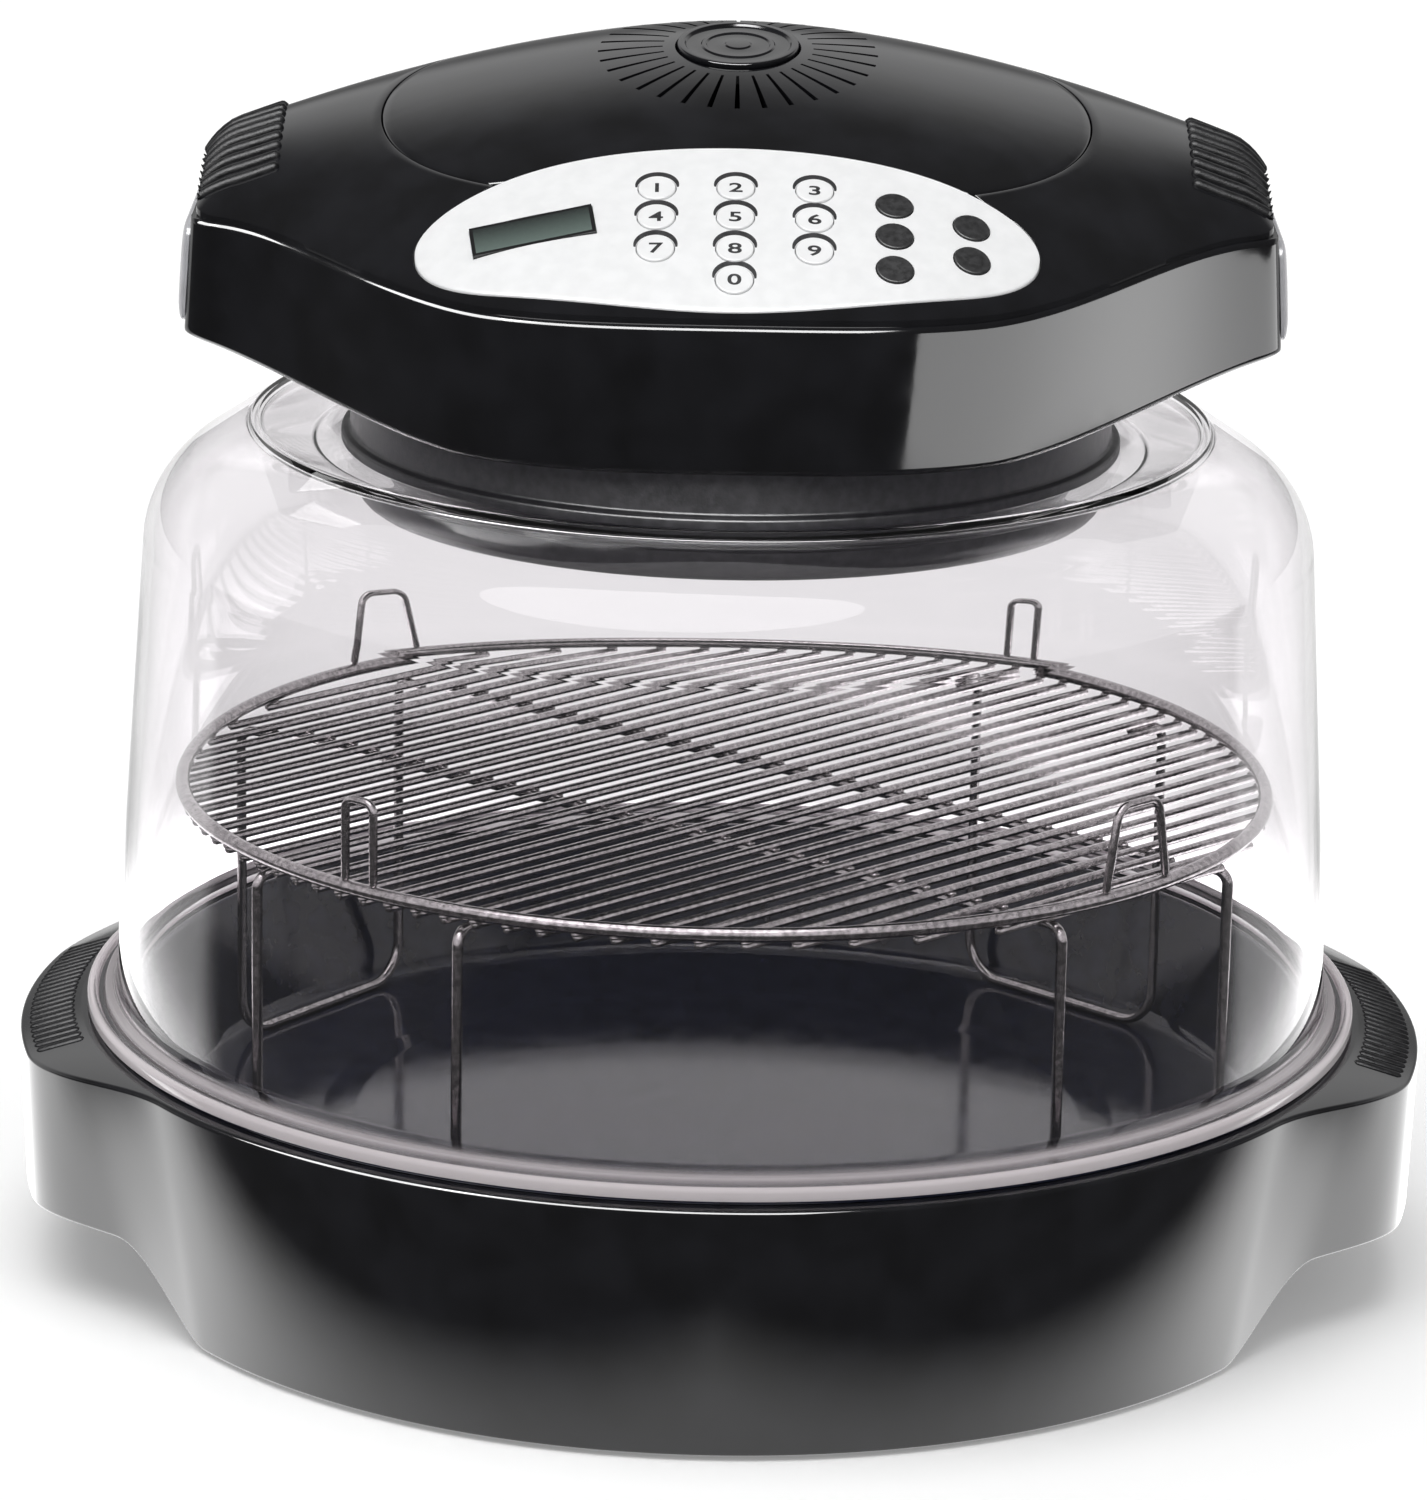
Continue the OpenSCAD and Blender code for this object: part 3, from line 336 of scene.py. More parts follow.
def base_section(a):
    """Wall of the tray and its handles, cut at an angle in degrees."""
    off = min(a % 180, 180 - a % 180)
    s = lobe(off)
    low = 1.5 + (finger_h - 1.5) * smooth((36 - off) / 12)
    high = base_h - handle_step - handle_drop * s
    top_r = base_r + handle_reach * s

    def skirt(z):
        """Radius of the wall's outer side at a height."""
        slope = (base_r - base_foot_r) / (base_h - 3)
        return (1 - s) * (base_r - (high - z) * slope) + s * (top_r - (high - z) * tan(radians(2)))

    crest = base_r - rim_edge
    corners = [(0, tray_z, 0), (tray_floor_r - 5, tray_z, 2), (tray_floor_r, tray_z + 4, 2),
        (tray_mouth_r, base_h, 0.5), (crest, base_h, 0.4), (top_r, high, 1.3),
        (skirt(low), low, 0.8), (skirt(low) - base_wall, low, 0.5),
        (skirt(high - base_wall) - base_wall, high - base_wall, 0.5),
        (crest - base_wall, base_h - base_wall, 0.3), (tray_mouth_r + 2.5, base_h - base_wall, 0.5),
        (tray_floor_r + 2.5, tray_z + 4, 0.5), (tray_floor_r - 4, tray_z - base_wall, 0.5),
        (0, tray_z - base_wall, 0)]
    return [(p.x * cos(radians(a)), p.x * sin(radians(a)), p.y) for p in filleted(corners)]


black_gloss = finish("Glossy black ABS", (0.0055, 0.0055, 0.0065), (0.010, 0.0102, 0.0125),
    (0.06, 0.13), grain=60, bump=0.02, fine=260, Specular_IOR_Level=0.5)
black_grain = finish("Grained black ABS", (0.008, 0.008, 0.009), (0.018, 0.018, 0.020),
    (0.36, 0.5), grain=400, bump=0.25, fine=1800, Specular_IOR_Level=0.2)
half_turn = ([i * 0.5 for i in range(80)] + [40 + i for i in range(100)]
    + [140 + i * 0.5 for i in range(80)])
base = band("Base_tray", [base_section(a) for a in half_turn + [a + 180 for a in half_turn]])
fit(base, black_gloss, "black_shell", "base", "base_shell", angle=35)


def bars(name, paths, radius, steps=3):
    """Round bars along paths of points, in millimetres, with their ends drawn in."""
    curve = bpy.data.curves.new(name, "CURVE")
    curve.dimensions = "3D"
    curve.bevel_depth = radius * MM
    curve.bevel_resolution = steps
    curve.use_fill_caps = True
    for path in paths:
        line = curve.splines.new("POLY")
        line.points.add(len(path) - 1)
        for point, place in zip(line.points, path):
            point.co = (*(Vector(place) * MM), 1)
        line.points[0].radius = line.points[-1].radius = 0.35
        line.points[1].radius = line.points[-2].radius = 0.8
    made = bpy.data.objects.new(name, curve)
    scene.collection.objects.link(made)
    alone(made)
    bpy.ops.object.convert(target="MESH")
    outwards()
    return made


def round_ends(path, radius):
    """The path with two close points at each end, over which a bar of that radius is drawn in."""
    path = [Vector(p) for p in path]
    first = (path[1] - path[0]).normalized()
    last = (path[-1] - path[-2]).normalized()
    return ([path[0], path[0] + first * radius * 0.4, path[0] + first * radius] + path[1:-1]
        + [path[-1] - last * radius, path[-1] - last * radius * 0.4, path[-1]])


rib_pitch, rib_side_count, rib_from_edge, shortest_rib = 4.3, 11, 2.6, 4
rib_paths = []
for side in (-1, 1):
    for k in range(-rib_side_count, rib_side_count + 1):
        y = k * rib_pitch
        x = base_r + handle_reach
        for _ in range(8):
            edge_r = base_r + handle_reach * lobe(abs(atan2(y, x)) * 180 / pi)
            x = sqrt((edge_r - rib_from_edge) ** 2 - y * y)
        inner = sqrt((base_r - 0.4) ** 2 - y * y)
        if x - inner < shortest_rib:
            continue
        ends = []
        for px in (inner, x):
            s = lobe(abs(atan2(y, px)) * 180 / pi)
            f = (hypot(px, y) - base_r + rim_edge) / (handle_reach * s + rim_edge)
            ends.append((side * px, y, base_h - (handle_step + handle_drop * s) * f - 0.5))
        rib_paths.append(round_ends(ends, 1.2))
ribs = bars("Handle_ribs", rib_paths, 1.25)
fit(ribs, black_grain, "black_shell", "base", angle=50)

# Feet: four moulded rubber pads, each held by a recessed screw from below.
rubber = finish("Black rubber", (0.012, 0.012, 0.012), (0.026, 0.026, 0.027), (0.62, 0.8),
    grain=700, bump=0.3, fine=2200)
screw_steel = finish("Zinc-plated steel", (0.52, 0.53, 0.55), (0.66, 0.67, 0.69), (0.28, 0.42),
    grain=900, bump=0.1, fine=2400, Metallic=1.0)
dress(rubber, "base_feet")
dress(screw_steel, "foot_screws", "bowl_screws", "board_screws")


# Liner pan: pressed steel sheet with a dark non-stick coating, drawn in one stroke with a rolled
# rim. It lies loose in the tray.
def turned(name, outline, steps=192):
    """Solid of revolution: a closed outline of (radius, height), spun round Z."""
    bpy.ops.mesh.primitive_circle_add(vertices=len(outline))
    made = bpy.context.object
    made.name = made.data.name = name
    for vertex, (r, z) in zip(made.data.vertices, outline):
        vertex.co = (r * MM, 0, z * MM)
    bpy.ops.object.mode_set(mode="EDIT")
    bpy.ops.mesh.select_all(action="SELECT")
    bpy.ops.mesh.spin(steps=steps, angle=2 * pi, center=(0, 0, 0), axis=(0, 0, 1))
    bpy.ops.object.mode_set(mode="OBJECT")
    outwards()
    return made


pan_gauge = 1.2
pan_step_in, pan_step_out = 105, 115
outer_floor = pan_floor_z - 1
pan_top = base_h + pan_gauge
pan = turned("Liner_pan", filleted([
    (0, pan_floor_z, 0), (pan_step_in, pan_floor_z, 12), (pan_step_out, outer_floor, 12),
    (pan_floor_r - 0.6, outer_floor, 5), (pan_mouth_r, pan_top, 0.9), (pan_rim_r, pan_top, 0.45),
    (pan_rim_r, base_h, 0.45), (pan_mouth_r + pan_gauge, base_h, 1.2),
    (pan_floor_r + pan_gauge - 0.6, outer_floor - pan_gauge, 6),
    (pan_step_out - 3, outer_floor - pan_gauge, 1.5),
    (pan_step_in + 3, pan_floor_z - pan_gauge, 1.5), (0, pan_floor_z - pan_gauge, 0)], 6))
coating = finish("Non-stick coating", (0.007, 0.008, 0.016), (0.014, 0.016, 0.030), (0.07, 0.13),
    grain=120, bump=0.02, fine=400, Specular_IOR_Level=0.4)
fit(pan, coating, "pan_coating", "pan", "liner_pan")

# Rack: chromed steel wire. A rim carries the grid rods, two crossbars stiffen them, and legs and
# lifting hooks are bent wire. Everything is spot-welded, with a small bead at each crossing.
rack_r, rack_h = 155, 102
rim_wire, rod_wire, leg_wire, hook_wire = 4, 2.4, 3, 2.4
rack_z = pan_floor_z + rack_h
rod_z = rack_z - 3.25
bar_z = rod_z - 2.75
foot_bar_z = outer_floor + 1.55
rod_pitch, rod_turn, bar_turn, bar_reach = 8.75, 45, -39, 139
leg_spread, leg_foot_in, hook_h = 14, 13, 23.4


def bent(points, bends, steps=8):
    """Path through points, with each inner corner rounded by the radius given for it."""
    points = [Vector(p) for p in points]
    path = [points[0]]
    for before, here, after, r in zip(points, points[1:], points[2:], bends):
        u, v = (here - before).normalized(), (after - here).normalized()
        turn = u.angle(v)
        w = (v - u * u.dot(v)).normalized()
        start = here - u * r * tan(turn / 2)
        for k in range(steps + 1):
            a = turn * k / steps
            path.append(start + u * r * sin(a) + w * r * (1 - cos(a)))
    return path + [points[-1]]


def on_circle(angle, r, z):
    """Place on a circle round Z, at an angle in degrees."""
    return Vector((r * cos(radians(angle)), r * sin(radians(angle)), z))


def across(turn, offset, reach, z):
    """Two ends of a straight wire that crosses the rack at an offset, in a direction."""
    half = sqrt(reach * reach - offset * offset)
    along, side = on_circle(turn, 1, 0), on_circle(turn + 90, 1, 0)
    up = Vector((0, 0, z))
    return [side * offset - along * half + up, side * offset + along * half + up]


chrome = finish("Chromed wire", (0.26, 0.245, 0.25), (0.42, 0.40, 0.405), (0.10, 0.2),
    grain=600, bump=0.06, fine=1800, Metallic=1.0)
rim = turned("Rack_rim", [(rack_r + rim_wire / 2 * cos(2 * pi * k / 20),
    rack_z + rim_wire / 2 * sin(2 * pi * k / 20)) for k in range(20)], 240)
fit(rim, chrome, "rack_chrome", "rack", "rack_rim")
rod_offsets = [i * rod_pitch for i in range(-17, 18)]
rods = bars("Rack_rods",
    [round_ends(across(rod_turn, c, rack_r + 0.6, rod_z), 1.0) for c in rod_offsets], rod_wire / 2)
fit(rods, chrome, "rack_chrome", "rack", "rack_rods")
bar_offsets = (-38, 32)
crossbars = bars("Rack_crossbars",
    [round_ends(across(bar_turn, c, bar_reach, bar_z), 1.2) for c in bar_offsets], leg_wire / 2)
fit(crossbars, chrome, "rack_chrome", "rack", "rack_crossbars")
for number, angle in enumerate((46, 144, 229, 320), 1):
    left, right = angle - leg_spread, angle + leg_spread
    path = bent([on_circle(left, rack_r - leg_foot_in, bar_z), on_circle(left, rack_r, bar_z),
        on_circle(left, rack_r, foot_bar_z), on_circle(right, rack_r, foot_bar_z),
        on_circle(right, rack_r, bar_z), on_circle(right, rack_r - leg_foot_in, bar_z)],
        [4, 12, 12, 4])
    leg = bars(f"Rack_leg_{number}", [round_ends(path, 1.2)], leg_wire / 2)
    fit(leg, chrome, "rack_chrome", "rack", f"rack_leg_{number}", angle=50)
hook_shapes = ((132, 24.5, 16), (316, 24.5, 16), (231, 10, 10), (54.4, 10, 10))
for number, (angle, foot, top) in enumerate(hook_shapes, 1):
    place = Matrix.Rotation(radians(angle), 4, "Z") @ Matrix.Translation((rack_r, 0, rack_z + 1.6))
    corners = [place @ Vector((0, y, z)) for y, z in (
        (-foot / 2, 0), (-top / 2, hook_h), (top / 2, hook_h), (foot / 2, 0))]
    path = bent(corners, [top * 0.3, top * 0.3])
    hook = bars(f"Rack_hook_{number}", [round_ends(path, 1.0)], hook_wire / 2)
    fit(hook, chrome, "rack_chrome", "rack", f"rack_hook_{number}", angle=50)

beads = []
for c in rod_offsets:
    for end in across(rod_turn, c, rack_r - 0.4, rod_z + 1.1):
        beads.append((end, rod_turn))
for c in bar_offsets:
    along, side = on_circle(bar_turn, 1, 0), on_circle(bar_turn + 90, 1, 0)
    rod_side = on_circle(rod_turn + 90, 1, 0)
    for offset in rod_offsets:
        t = (offset - c * side.dot(rod_side)) / along.dot(rod_side)
        spot = side * c + along * t + Vector((0, 0, rod_z - 1.2))
        if abs(t) < sqrt((bar_reach - 3) ** 2 - c * c):
            beads.append((spot, bar_turn))
bpy.ops.mesh.primitive_uv_sphere_add(segments=8, ring_count=6, radius=1.0 * MM)
bead = bpy.context.object
bpy.ops.object.mode_set(mode="EDIT")
bpy.ops.mesh.select_all(action="SELECT")
bpy.ops.transform.resize(value=(1.9, 1.5, 0.8))
bpy.ops.object.mode_set(mode="OBJECT")
copies = []
for spot, turn in beads:
    copy = bead.copy()
    copy.data = bead.data.copy()
    copy.data.transform(Matrix.Translation(spot * MM) @ Matrix.Rotation(radians(turn), 4, "Z"))
    scene.collection.objects.link(copy)
    copies.append(copy)
bpy.data.objects.remove(bead)


def joined(pieces, name):
    """One object from several."""
    bpy.ops.object.select_all(action="DESELECT")
    for piece in pieces:
        piece.select_set(True)
    bpy.context.view_layer.objects.active = pieces[0]
    bpy.ops.object.join()
    pieces[0].name = pieces[0].data.name = name
    return pieces[0]


fit(joined(copies, "Rack_weld_beads"), chrome, "rack_chrome", "rack", angle=180)

# Dome: blow-moulded clear polycarbonate, thick at its collar and at its flange, whose bright rings
# are painted highlights. It stands on the pan's rim, and its sunken neck carries the head.
dome_z = pan_top
dome_h, dome_wall = 170.8, 3
dome_foot_r = pan_mouth_r + 4
dome_shoulder_r = dome_foot_r - 8.2
dome_top = dome_z + dome_h
neck_z = dome_top - 6
neck_r = 106.5
shoulder_r, shoulder_from, shoulder_to = 30, 3, 58
shoulder_z = dome_top - 36.5
flange_r = dome_foot_r + 8.3


def arc(a, b, r, start, end, steps):
    """Points of a circular arc, as corners without a rounding."""
    return [(a + r * cos(radians(start + (end - start) * k / steps)),
        b + r * sin(radians(start + (end - start) * k / steps)), 0) for k in range(steps + 1)]


shoulder_x = dome_shoulder_r - shoulder_r
dome = turned("Dome", filleted(
    [(flange_r, dome_z, 0.6), (flange_r, dome_z + 3.6, 1.2), (flange_r - 2.9, dome_z + 3.6, 1.1),
    (flange_r - 3.3, dome_z + 2.5, 0.4), (dome_foot_r + 3.6, dome_z + 2.5, 0.4),
    (dome_foot_r + 3, dome_z + 4.8, 0.9), (dome_foot_r + 0.6, dome_z + 4.8, 1.0),
    (dome_foot_r - 0.1, dome_z + 7.8, 3)]
    + arc(shoulder_x, shoulder_z, shoulder_r, shoulder_from, shoulder_to, 24)
    + [(137, dome_top - 1.2, 2), (135.4, dome_top, 1.0), (133.4, dome_top, 1.0),
    (118, neck_z, 3), (neck_r, neck_z, 0.6), (neck_r, neck_z - dome_wall, 0.6),
    (117, neck_z - dome_wall, 3), (134, dome_top - 3.6, 3)]
    + arc(shoulder_x, shoulder_z, shoulder_r - dome_wall, shoulder_to, shoulder_from, 24)
    + [(dome_foot_r - dome_wall, dome_z + 3.7, 2), (dome_foot_r - dome_wall, dome_z, 0.5)]), 256)
clear = bpy.data.materials.new("Clear polycarbonate")
clear.use_nodes = True
tree = clear.node_tree
shader = tree.nodes["Principled BSDF"]
for key, value in (("Transmission Weight", 1.0), ("IOR", 1.49), ("Specular IOR Level", 0.5)):
    shader.inputs[key].default_value = value
place = node(tree, "TexCoord")
haze = noise(tree, place.outputs["Object"], 9.0, 3.0)
tint = node(tree, "ValToRGB", inputs={0: haze.outputs[0]})
tint.color_ramp.elements[0].color = (0.975, 0.955, 0.972, 1)
tint.color_ramp.elements[1].color = (0.985, 0.972, 0.985, 1)
tree.links.new(tint.outputs[0], shader.inputs["Base Color"])
polish = node(tree, "MapRange", inputs={"Value": haze.outputs[0], "To Min": 0.0, "To Max": 0.025})
tree.links.new(polish.outputs[0], shader.inputs["Roughness"])
wave = noise(tree, place.outputs["Object"], 22.0, 1.0)
ripple = node(tree, "Bump", inputs={
    "Height": wave.outputs[0], "Strength": 0.05, "Distance": 0.001})
tree.links.new(ripple.outputs[0], shader.inputs["Normal"])
through = node(tree, "BsdfTransparent", inputs={"Color": (0.95, 0.93, 0.95, 1)})
spot = node(tree, "SeparateXYZ", inputs={0: place.outputs["Object"]})
flat = node(tree, "CombineXYZ", inputs={0: spot.outputs["X"], 1: spot.outputs["Y"]})
out = node(tree, "VectorMath", operation="LENGTH", inputs={0: flat.outputs[0]})
# Painted highlights: bands of whitish diffuse mixed into the clear shader round the flange, near its
# foot.
low = node(tree, "MapRange", interpolation_type="SMOOTHSTEP", inputs={
    "Value": spot.outputs["Z"], "From Min": (dome_z + 4) * MM, "From Max": (dome_z + 7) * MM,
    "To Min": 1.0, "To Max": 0.0})
along = node(tree, "MapRange", inputs={
    "Value": out.outputs["Value"], "From Min": (dome_foot_r - 1) * MM, "From Max": flange_r * MM})
painted_highlight_bands = node(tree, "ValToRGB", inputs={0: along.outputs[0]})
shades(painted_highlight_bands, (0.0, 0.0), (0.2, 0.46), (0.42, 0.5), (0.52, 0.05), (0.7, 0.05), (0.86, 0.66))
painted_flange_highlight = math(tree, "MULTIPLY", painted_highlight_bands.outputs[0], low.outputs[0])
painted_highlight_white = node(tree, "BsdfPrincipled", inputs={
    "Base Color": (0.90, 0.83, 0.855, 1), "Roughness": polish.outputs[0], "Specular IOR Level": 0.9})
solid = node(tree, "MixShader", inputs={0: painted_flange_highlight.outputs[0], 1: shader.outputs[0], 2: painted_highlight_white.outputs[0]})
mix = node(tree, "MixShader", inputs={
    0: node(tree, "LightPath").outputs["Is Shadow Ray"], 1: solid.outputs[0], 2: through.outputs[0]})
tree.links.new(mix.outputs[0], tree.nodes["Material Output"].inputs[0])
fit(dome, clear, "dome_clear", "dome", "dome")
unlit = bpy.data.collections.new("Not lit by the front card")
unlit.objects.link(dome)
front_card.light_linking.receiver_collection = unlit
unlit.collection_objects[0].light_linking.link_state = "EXCLUDE"

# Heater bowl: a spun steel ring in dark satin enamel that hangs from the head into the neck, with
# a step where it sits on the dome. It shades the polished dish and the quartz ring inside.
bowl_gauge = 2
bowl_r = neck_r - 1.5
bowl_top_r = neck_r + 1
bowl_top = neck_z + 17
bowl_low = neck_z - 17
bowl_lip_r = bowl_r - 13
bowl = turned("Heater_bowl", filleted([
    (bowl_top_r, bowl_top, 0.3), (bowl_top_r, neck_z + 3.4, 1), (bowl_r + 5, neck_z + 3, 0.9),
    (bowl_r + 5, neck_z, 0.5), (bowl_r, neck_z, 0.5), (bowl_r, neck_z - 6, 0.6),
    (bowl_r - 1.2, neck_z - 6.6, 0.3), (bowl_r - 1.2, bowl_low, 10), (bowl_lip_r, bowl_low, 0.6),
    (bowl_lip_r, bowl_low + bowl_gauge, 0.6), (bowl_r - 3.2, bowl_low + bowl_gauge, 8),
    (bowl_r - 3.2, neck_z - 5.6, 0.3), (bowl_r - bowl_gauge, neck_z - 5, 0.3),
    (bowl_r - bowl_gauge, neck_z + 4, 0.3), (bowl_top_r - bowl_gauge, neck_z + 6, 0.3),
    (bowl_top_r - bowl_gauge, bowl_top - bowl_gauge, 0.3),
    (bowl_lip_r + 4, bowl_top - bowl_gauge, 0.3), (bowl_lip_r + 4, bowl_top, 0.3)], 6), 224)
enamel = finish("Charcoal satin enamel", (0.044, 0.043, 0.051), (0.066, 0.064, 0.075), (0.30, 0.42),
    grain=350, bump=0.12, fine=1400)
fit(bowl, enamel, "bowl_grey", "head", "heater_bowl")
dish_metal = finish("Polished aluminium", (0.80, 0.80, 0.80), (0.90, 0.90, 0.91), (0.10, 0.22),
    grain=160, bump=0.05, fine=900, stretch=(1, 1, 12), Metallic=1.0)
dress(dish_metal, "reflector_dish")
quartz = finish("Quartz tube", (0.55, 0.50, 0.47), (0.74, 0.69, 0.65), (0.08, 0.2),
    grain=90, bump=0.08, fine=600, Coat_Weight=0.6)
dress(quartz, "heater_tube")
ceramic = finish("Steatite block", (0.66, 0.63, 0.56), (0.80, 0.77, 0.70), (0.55, 0.75),
    grain=500, bump=0.3, fine=1600)
dress(ceramic, "heater_block")
guard_steel = finish("Dark enamelled guard", (0.045, 0.045, 0.05), (0.07, 0.07, 0.078), (0.32, 0.45),
    grain=400, bump=0.12, fine=1500)
dress(guard_steel, "fan_guard")

# Fans and motor: a pressed steel wheel moves the oven's air and a moulded one cools the motor, on
# one shaft. The can sits on a bracket over the housing's floor.
fan_steel = finish("Pressed aluminised steel", (0.50, 0.51, 0.52), (0.66, 0.67, 0.68), (0.30, 0.46),
    grain=300, bump=0.12, fine=1500, Metallic=1.0)
dress(fan_steel, "circulation_fan", "heater_clips")
cooler_plastic = finish("Grey nylon", (0.06, 0.06, 0.065), (0.09, 0.09, 0.095), (0.42, 0.58),
    grain=350, bump=0.15, fine=1500)
dress(cooler_plastic, "cooling_fan")
motor_steel = finish("Motor steel", (0.40, 0.41, 0.43), (0.56, 0.57, 0.59), (0.30, 0.45),
    grain=260, bump=0.12, fine=1300, stretch=(1, 1, 8), Metallic=1.0)
dress(motor_steel, "motor_can", "motor_shaft")
bracket_steel = finish("Galvanised bracket", (0.52, 0.53, 0.54), (0.68, 0.69, 0.70), (0.35, 0.55),
    grain=180, bump=0.15, fine=1200, Metallic=1.0)
dress(bracket_steel, "motor_bracket")
copper = finish("Copper and laminations", (0.42, 0.20, 0.10), (0.62, 0.34, 0.19), (0.30, 0.5),
    grain=700, bump=0.25, fine=1500, stretch=(1, 1, 5), Metallic=1.0)
dress(copper, "motor_rotor")
wool = finish("Ceramic wool", (0.66, 0.64, 0.56), (0.86, 0.84, 0.77), (0.85, 0.98),
    grain=420, bump=0.7, fine=900)
dress(wool, "insulation_pad")

# Head housing: glossy black ABS, open at the top, deep at its middle and drawn out into two
# grips. Its rim is a narrow ledge that shows outside the cover as a bright line.
head_half_l, head_half_w, grip_half_w = 150, 120, 39
head_z = bowl_top
housing_h, cover_h = 41, 57
seam_z = head_z + housing_h
crown_z = seam_z + cover_h
end_round, end_lean, housing_wall = 6, 2, 3


def tip_curve(x, l, p):
    """Bell that falls from 1 in the middle of a length to 0 at its ends."""
    return 0.5 + 0.5 * cos(pi * min(1, abs(x) / l) ** p)


def seam_y(x):
    """Half width of the housing at its rim, where the cover sits."""
    return grip_half_w + (head_half_w - grip_half_w) * tip_curve(x, head_half_l, 1.8)


def low_y(x):
    """Half width of the housing at its floor."""
    bell = tip_curve(x, head_half_l + end_lean, 1.6)
    return grip_half_w - 1 + (head_half_w - grip_half_w) * bell


def rim_z(x):
    """Height of the housing's rim, which rises to the grips."""
    return seam_z + 9.5 * smooth((abs(x) - 65) / 85)


def low_z(x):
    """Height of the housing's floor, which rises to the grips."""
    return head_z + 18 * max(0, (abs(x) - 70) / 82) ** 1.4


def end_inset(x, l, r):
    """How far the side is drawn in near the end of a length, over a rounded corner."""
    past = min(r, max(0, abs(x) - l + r))
    return r - sqrt(r * r - past * past)


def stations(l, r, count):
    """Places along X, close together over the rounded ends."""
    ends = [l - r + r * sin(radians(a)) for a in (15, 30, 45, 58, 70, 80, 90)]
    flat = [(l - r) * k / count for k in range(-count, count + 1)]
    return [-x for x in reversed(ends)] + flat + ends


def housing_section(x):
    """The housing cut across, its floor a little longer than its rim."""
    xb = x * (head_half_l + end_lean) / head_half_l
    inset = end_inset(x, head_half_l, end_round)
    yt, yb = seam_y(x) - inset, low_y(xb) - inset
    low, high = low_z(xb), rim_z(x)
    solid = abs(x) > head_half_l - housing_wall
    floor = high - 0.3 if solid else low + 2.5
    slant = hypot(1, seam_y(x + 0.5) - seam_y(x - 0.5))
    wall = min(housing_wall * slant, yt - 2)
    inner = yt - wall if solid else yb - wall
    corners = [(-yb, low, 2.2), (yb, low, 2.2), (yt, high, 1.7), (yt - wall, high, 0),
        (inner, floor, 0), (-inner, floor, 0), (wall - yt, high, 0), (-yt, high, 1.7)]
    return [(xb + (x - xb) * (p.y - low) / (high - low), p.x, p.y) for p in filleted(corners, 7)]


housing = band("Head_housing",
    [housing_section(x) for x in stations(head_half_l, end_round, 90)], ring=False)
rounding = housing.modifiers.new("Edge rounding", "BEVEL")
rounding.width = 0.8 * MM
rounding.segments = 3
rounding.angle_limit = radians(55)
bpy.ops.object.modifier_apply(modifier=rounding.name)
fit(housing, black_gloss, "black_shell", "head", "lower_housing", angle=35)
lit_by_card = bpy.data.collections.new("Lit by the head card")
lit_by_card.objects.link(housing)
head_card.light_linking.receiver_collection = lit_by_card
edges_lit = bpy.data.collections.new("Lit by the left card")
edges_lit.objects.link(housing)
edges_lit.objects.link(base)
left_card.light_linking.receiver_collection = edges_lit

# Cover and crown: the same glossy ABS. The crown is a separate oval cap in the cover, with a ring
# of radial vent slots, and a fine seam runs round it and round the panel.
panel_x, panel_y = -2, -84
panel_half_l, panel_back, panel_front = 84, 24, 32.5
crown_y, crown_half_l, crown_half_w = -18, 98, 66
seam_gap = 0.3
lip_drop, lip_round, cover_wall = 0.45, 0.13, 2.4
vent_x, vent_y = 0, -2


def eased(t, power, blunt=0.04):
    """The power of t, with its sharp start rounded off."""
    zero = blunt ** power
    return ((t * t + blunt * blunt) ** (power / 2) - zero) / ((1 + blunt * blunt) ** (power / 2) - zero)


def cover_z(x, y):
    """Height of the head's upper side, which falls from a ridge behind its middle."""
    ridge = 20 - 13 * eased(abs(x) / head_half_l, 1, 0.12)
    t = min(1, abs(y - ridge) / (seam_y(x) + (ridge if y < ridge else -ridge)))
    past = max(0, abs(x) - head_half_l + 11) / 12
    top = crown_z - 30 * eased(abs(x) / 143, 1.75)
    round_end = sqrt(max(0, 1 - past * past))
    return rim_z(x) + (top - rim_z(x)) * round_end * max(0, 1 - eased(t, 1.6)) ** 0.87


def in_panel(x, y, margin=0):
    """Whether a place lies in the panel's oval, or within a margin of it."""
    deep = (panel_back if y > panel_y else panel_front) + margin
    return ((x - panel_x) / (panel_half_l + margin)) ** 2 + ((y - panel_y) / deep) ** 2 < 1


def in_oval(x, y, margin=0):
    """Whether a place lies in the crown's oval seam, or within a margin of it."""
    return (x / (crown_half_l + margin)) ** 2 + ((y - crown_y) / (crown_half_w + margin)) ** 2 < 1


def in_crown(x, y):
    return in_oval(x, y) and not in_panel(x, y, seam_gap)


def in_cover(x, y):
    """Whether a place lies on the cover's outline, which leaves a ledge of the housing free."""
    half_l = head_half_l - 1.4
    return abs(x) < half_l and abs(y) < seam_y(x) - 1.6 - end_inset(x, half_l, end_round)


def reach(inside, cx, cy, a, far=240.0):
    """Distance from a place, in a direction, up to which the inside goes on."""
    near = 0.0
    for _ in range(32):
        half = (near + far) / 2
        if inside(cx + half * cos(a), cy + half * sin(a)):
            near = half
        else:
            far = half
    return near


def even_angles(inside, cx, cy, count):
    """Directions that cut an outline into equal steps."""
    turns = [2 * pi * k / 1440 for k in range(1441)]
    spots = []
    for a in turns:
        r = reach(inside, cx, cy, a)
        spots.append((r * cos(a), r * sin(a)))
    run = [0.0]
    for p, q in zip(spots, spots[1:]):
        run.append(run[-1] + hypot(q[0] - p[0], q[1] - p[1]))
    angles, k = [], 0
    for i in range(count):
        want = run[-1] * i / count
        while run[k + 1] < want:
            k += 1
        step = turns[k + 1] - turns[k]
        angles.append(turns[k] + step * (want - run[k]) / (run[k + 1] - run[k]))
    return angles


cover_x, cover_y = 0, -45


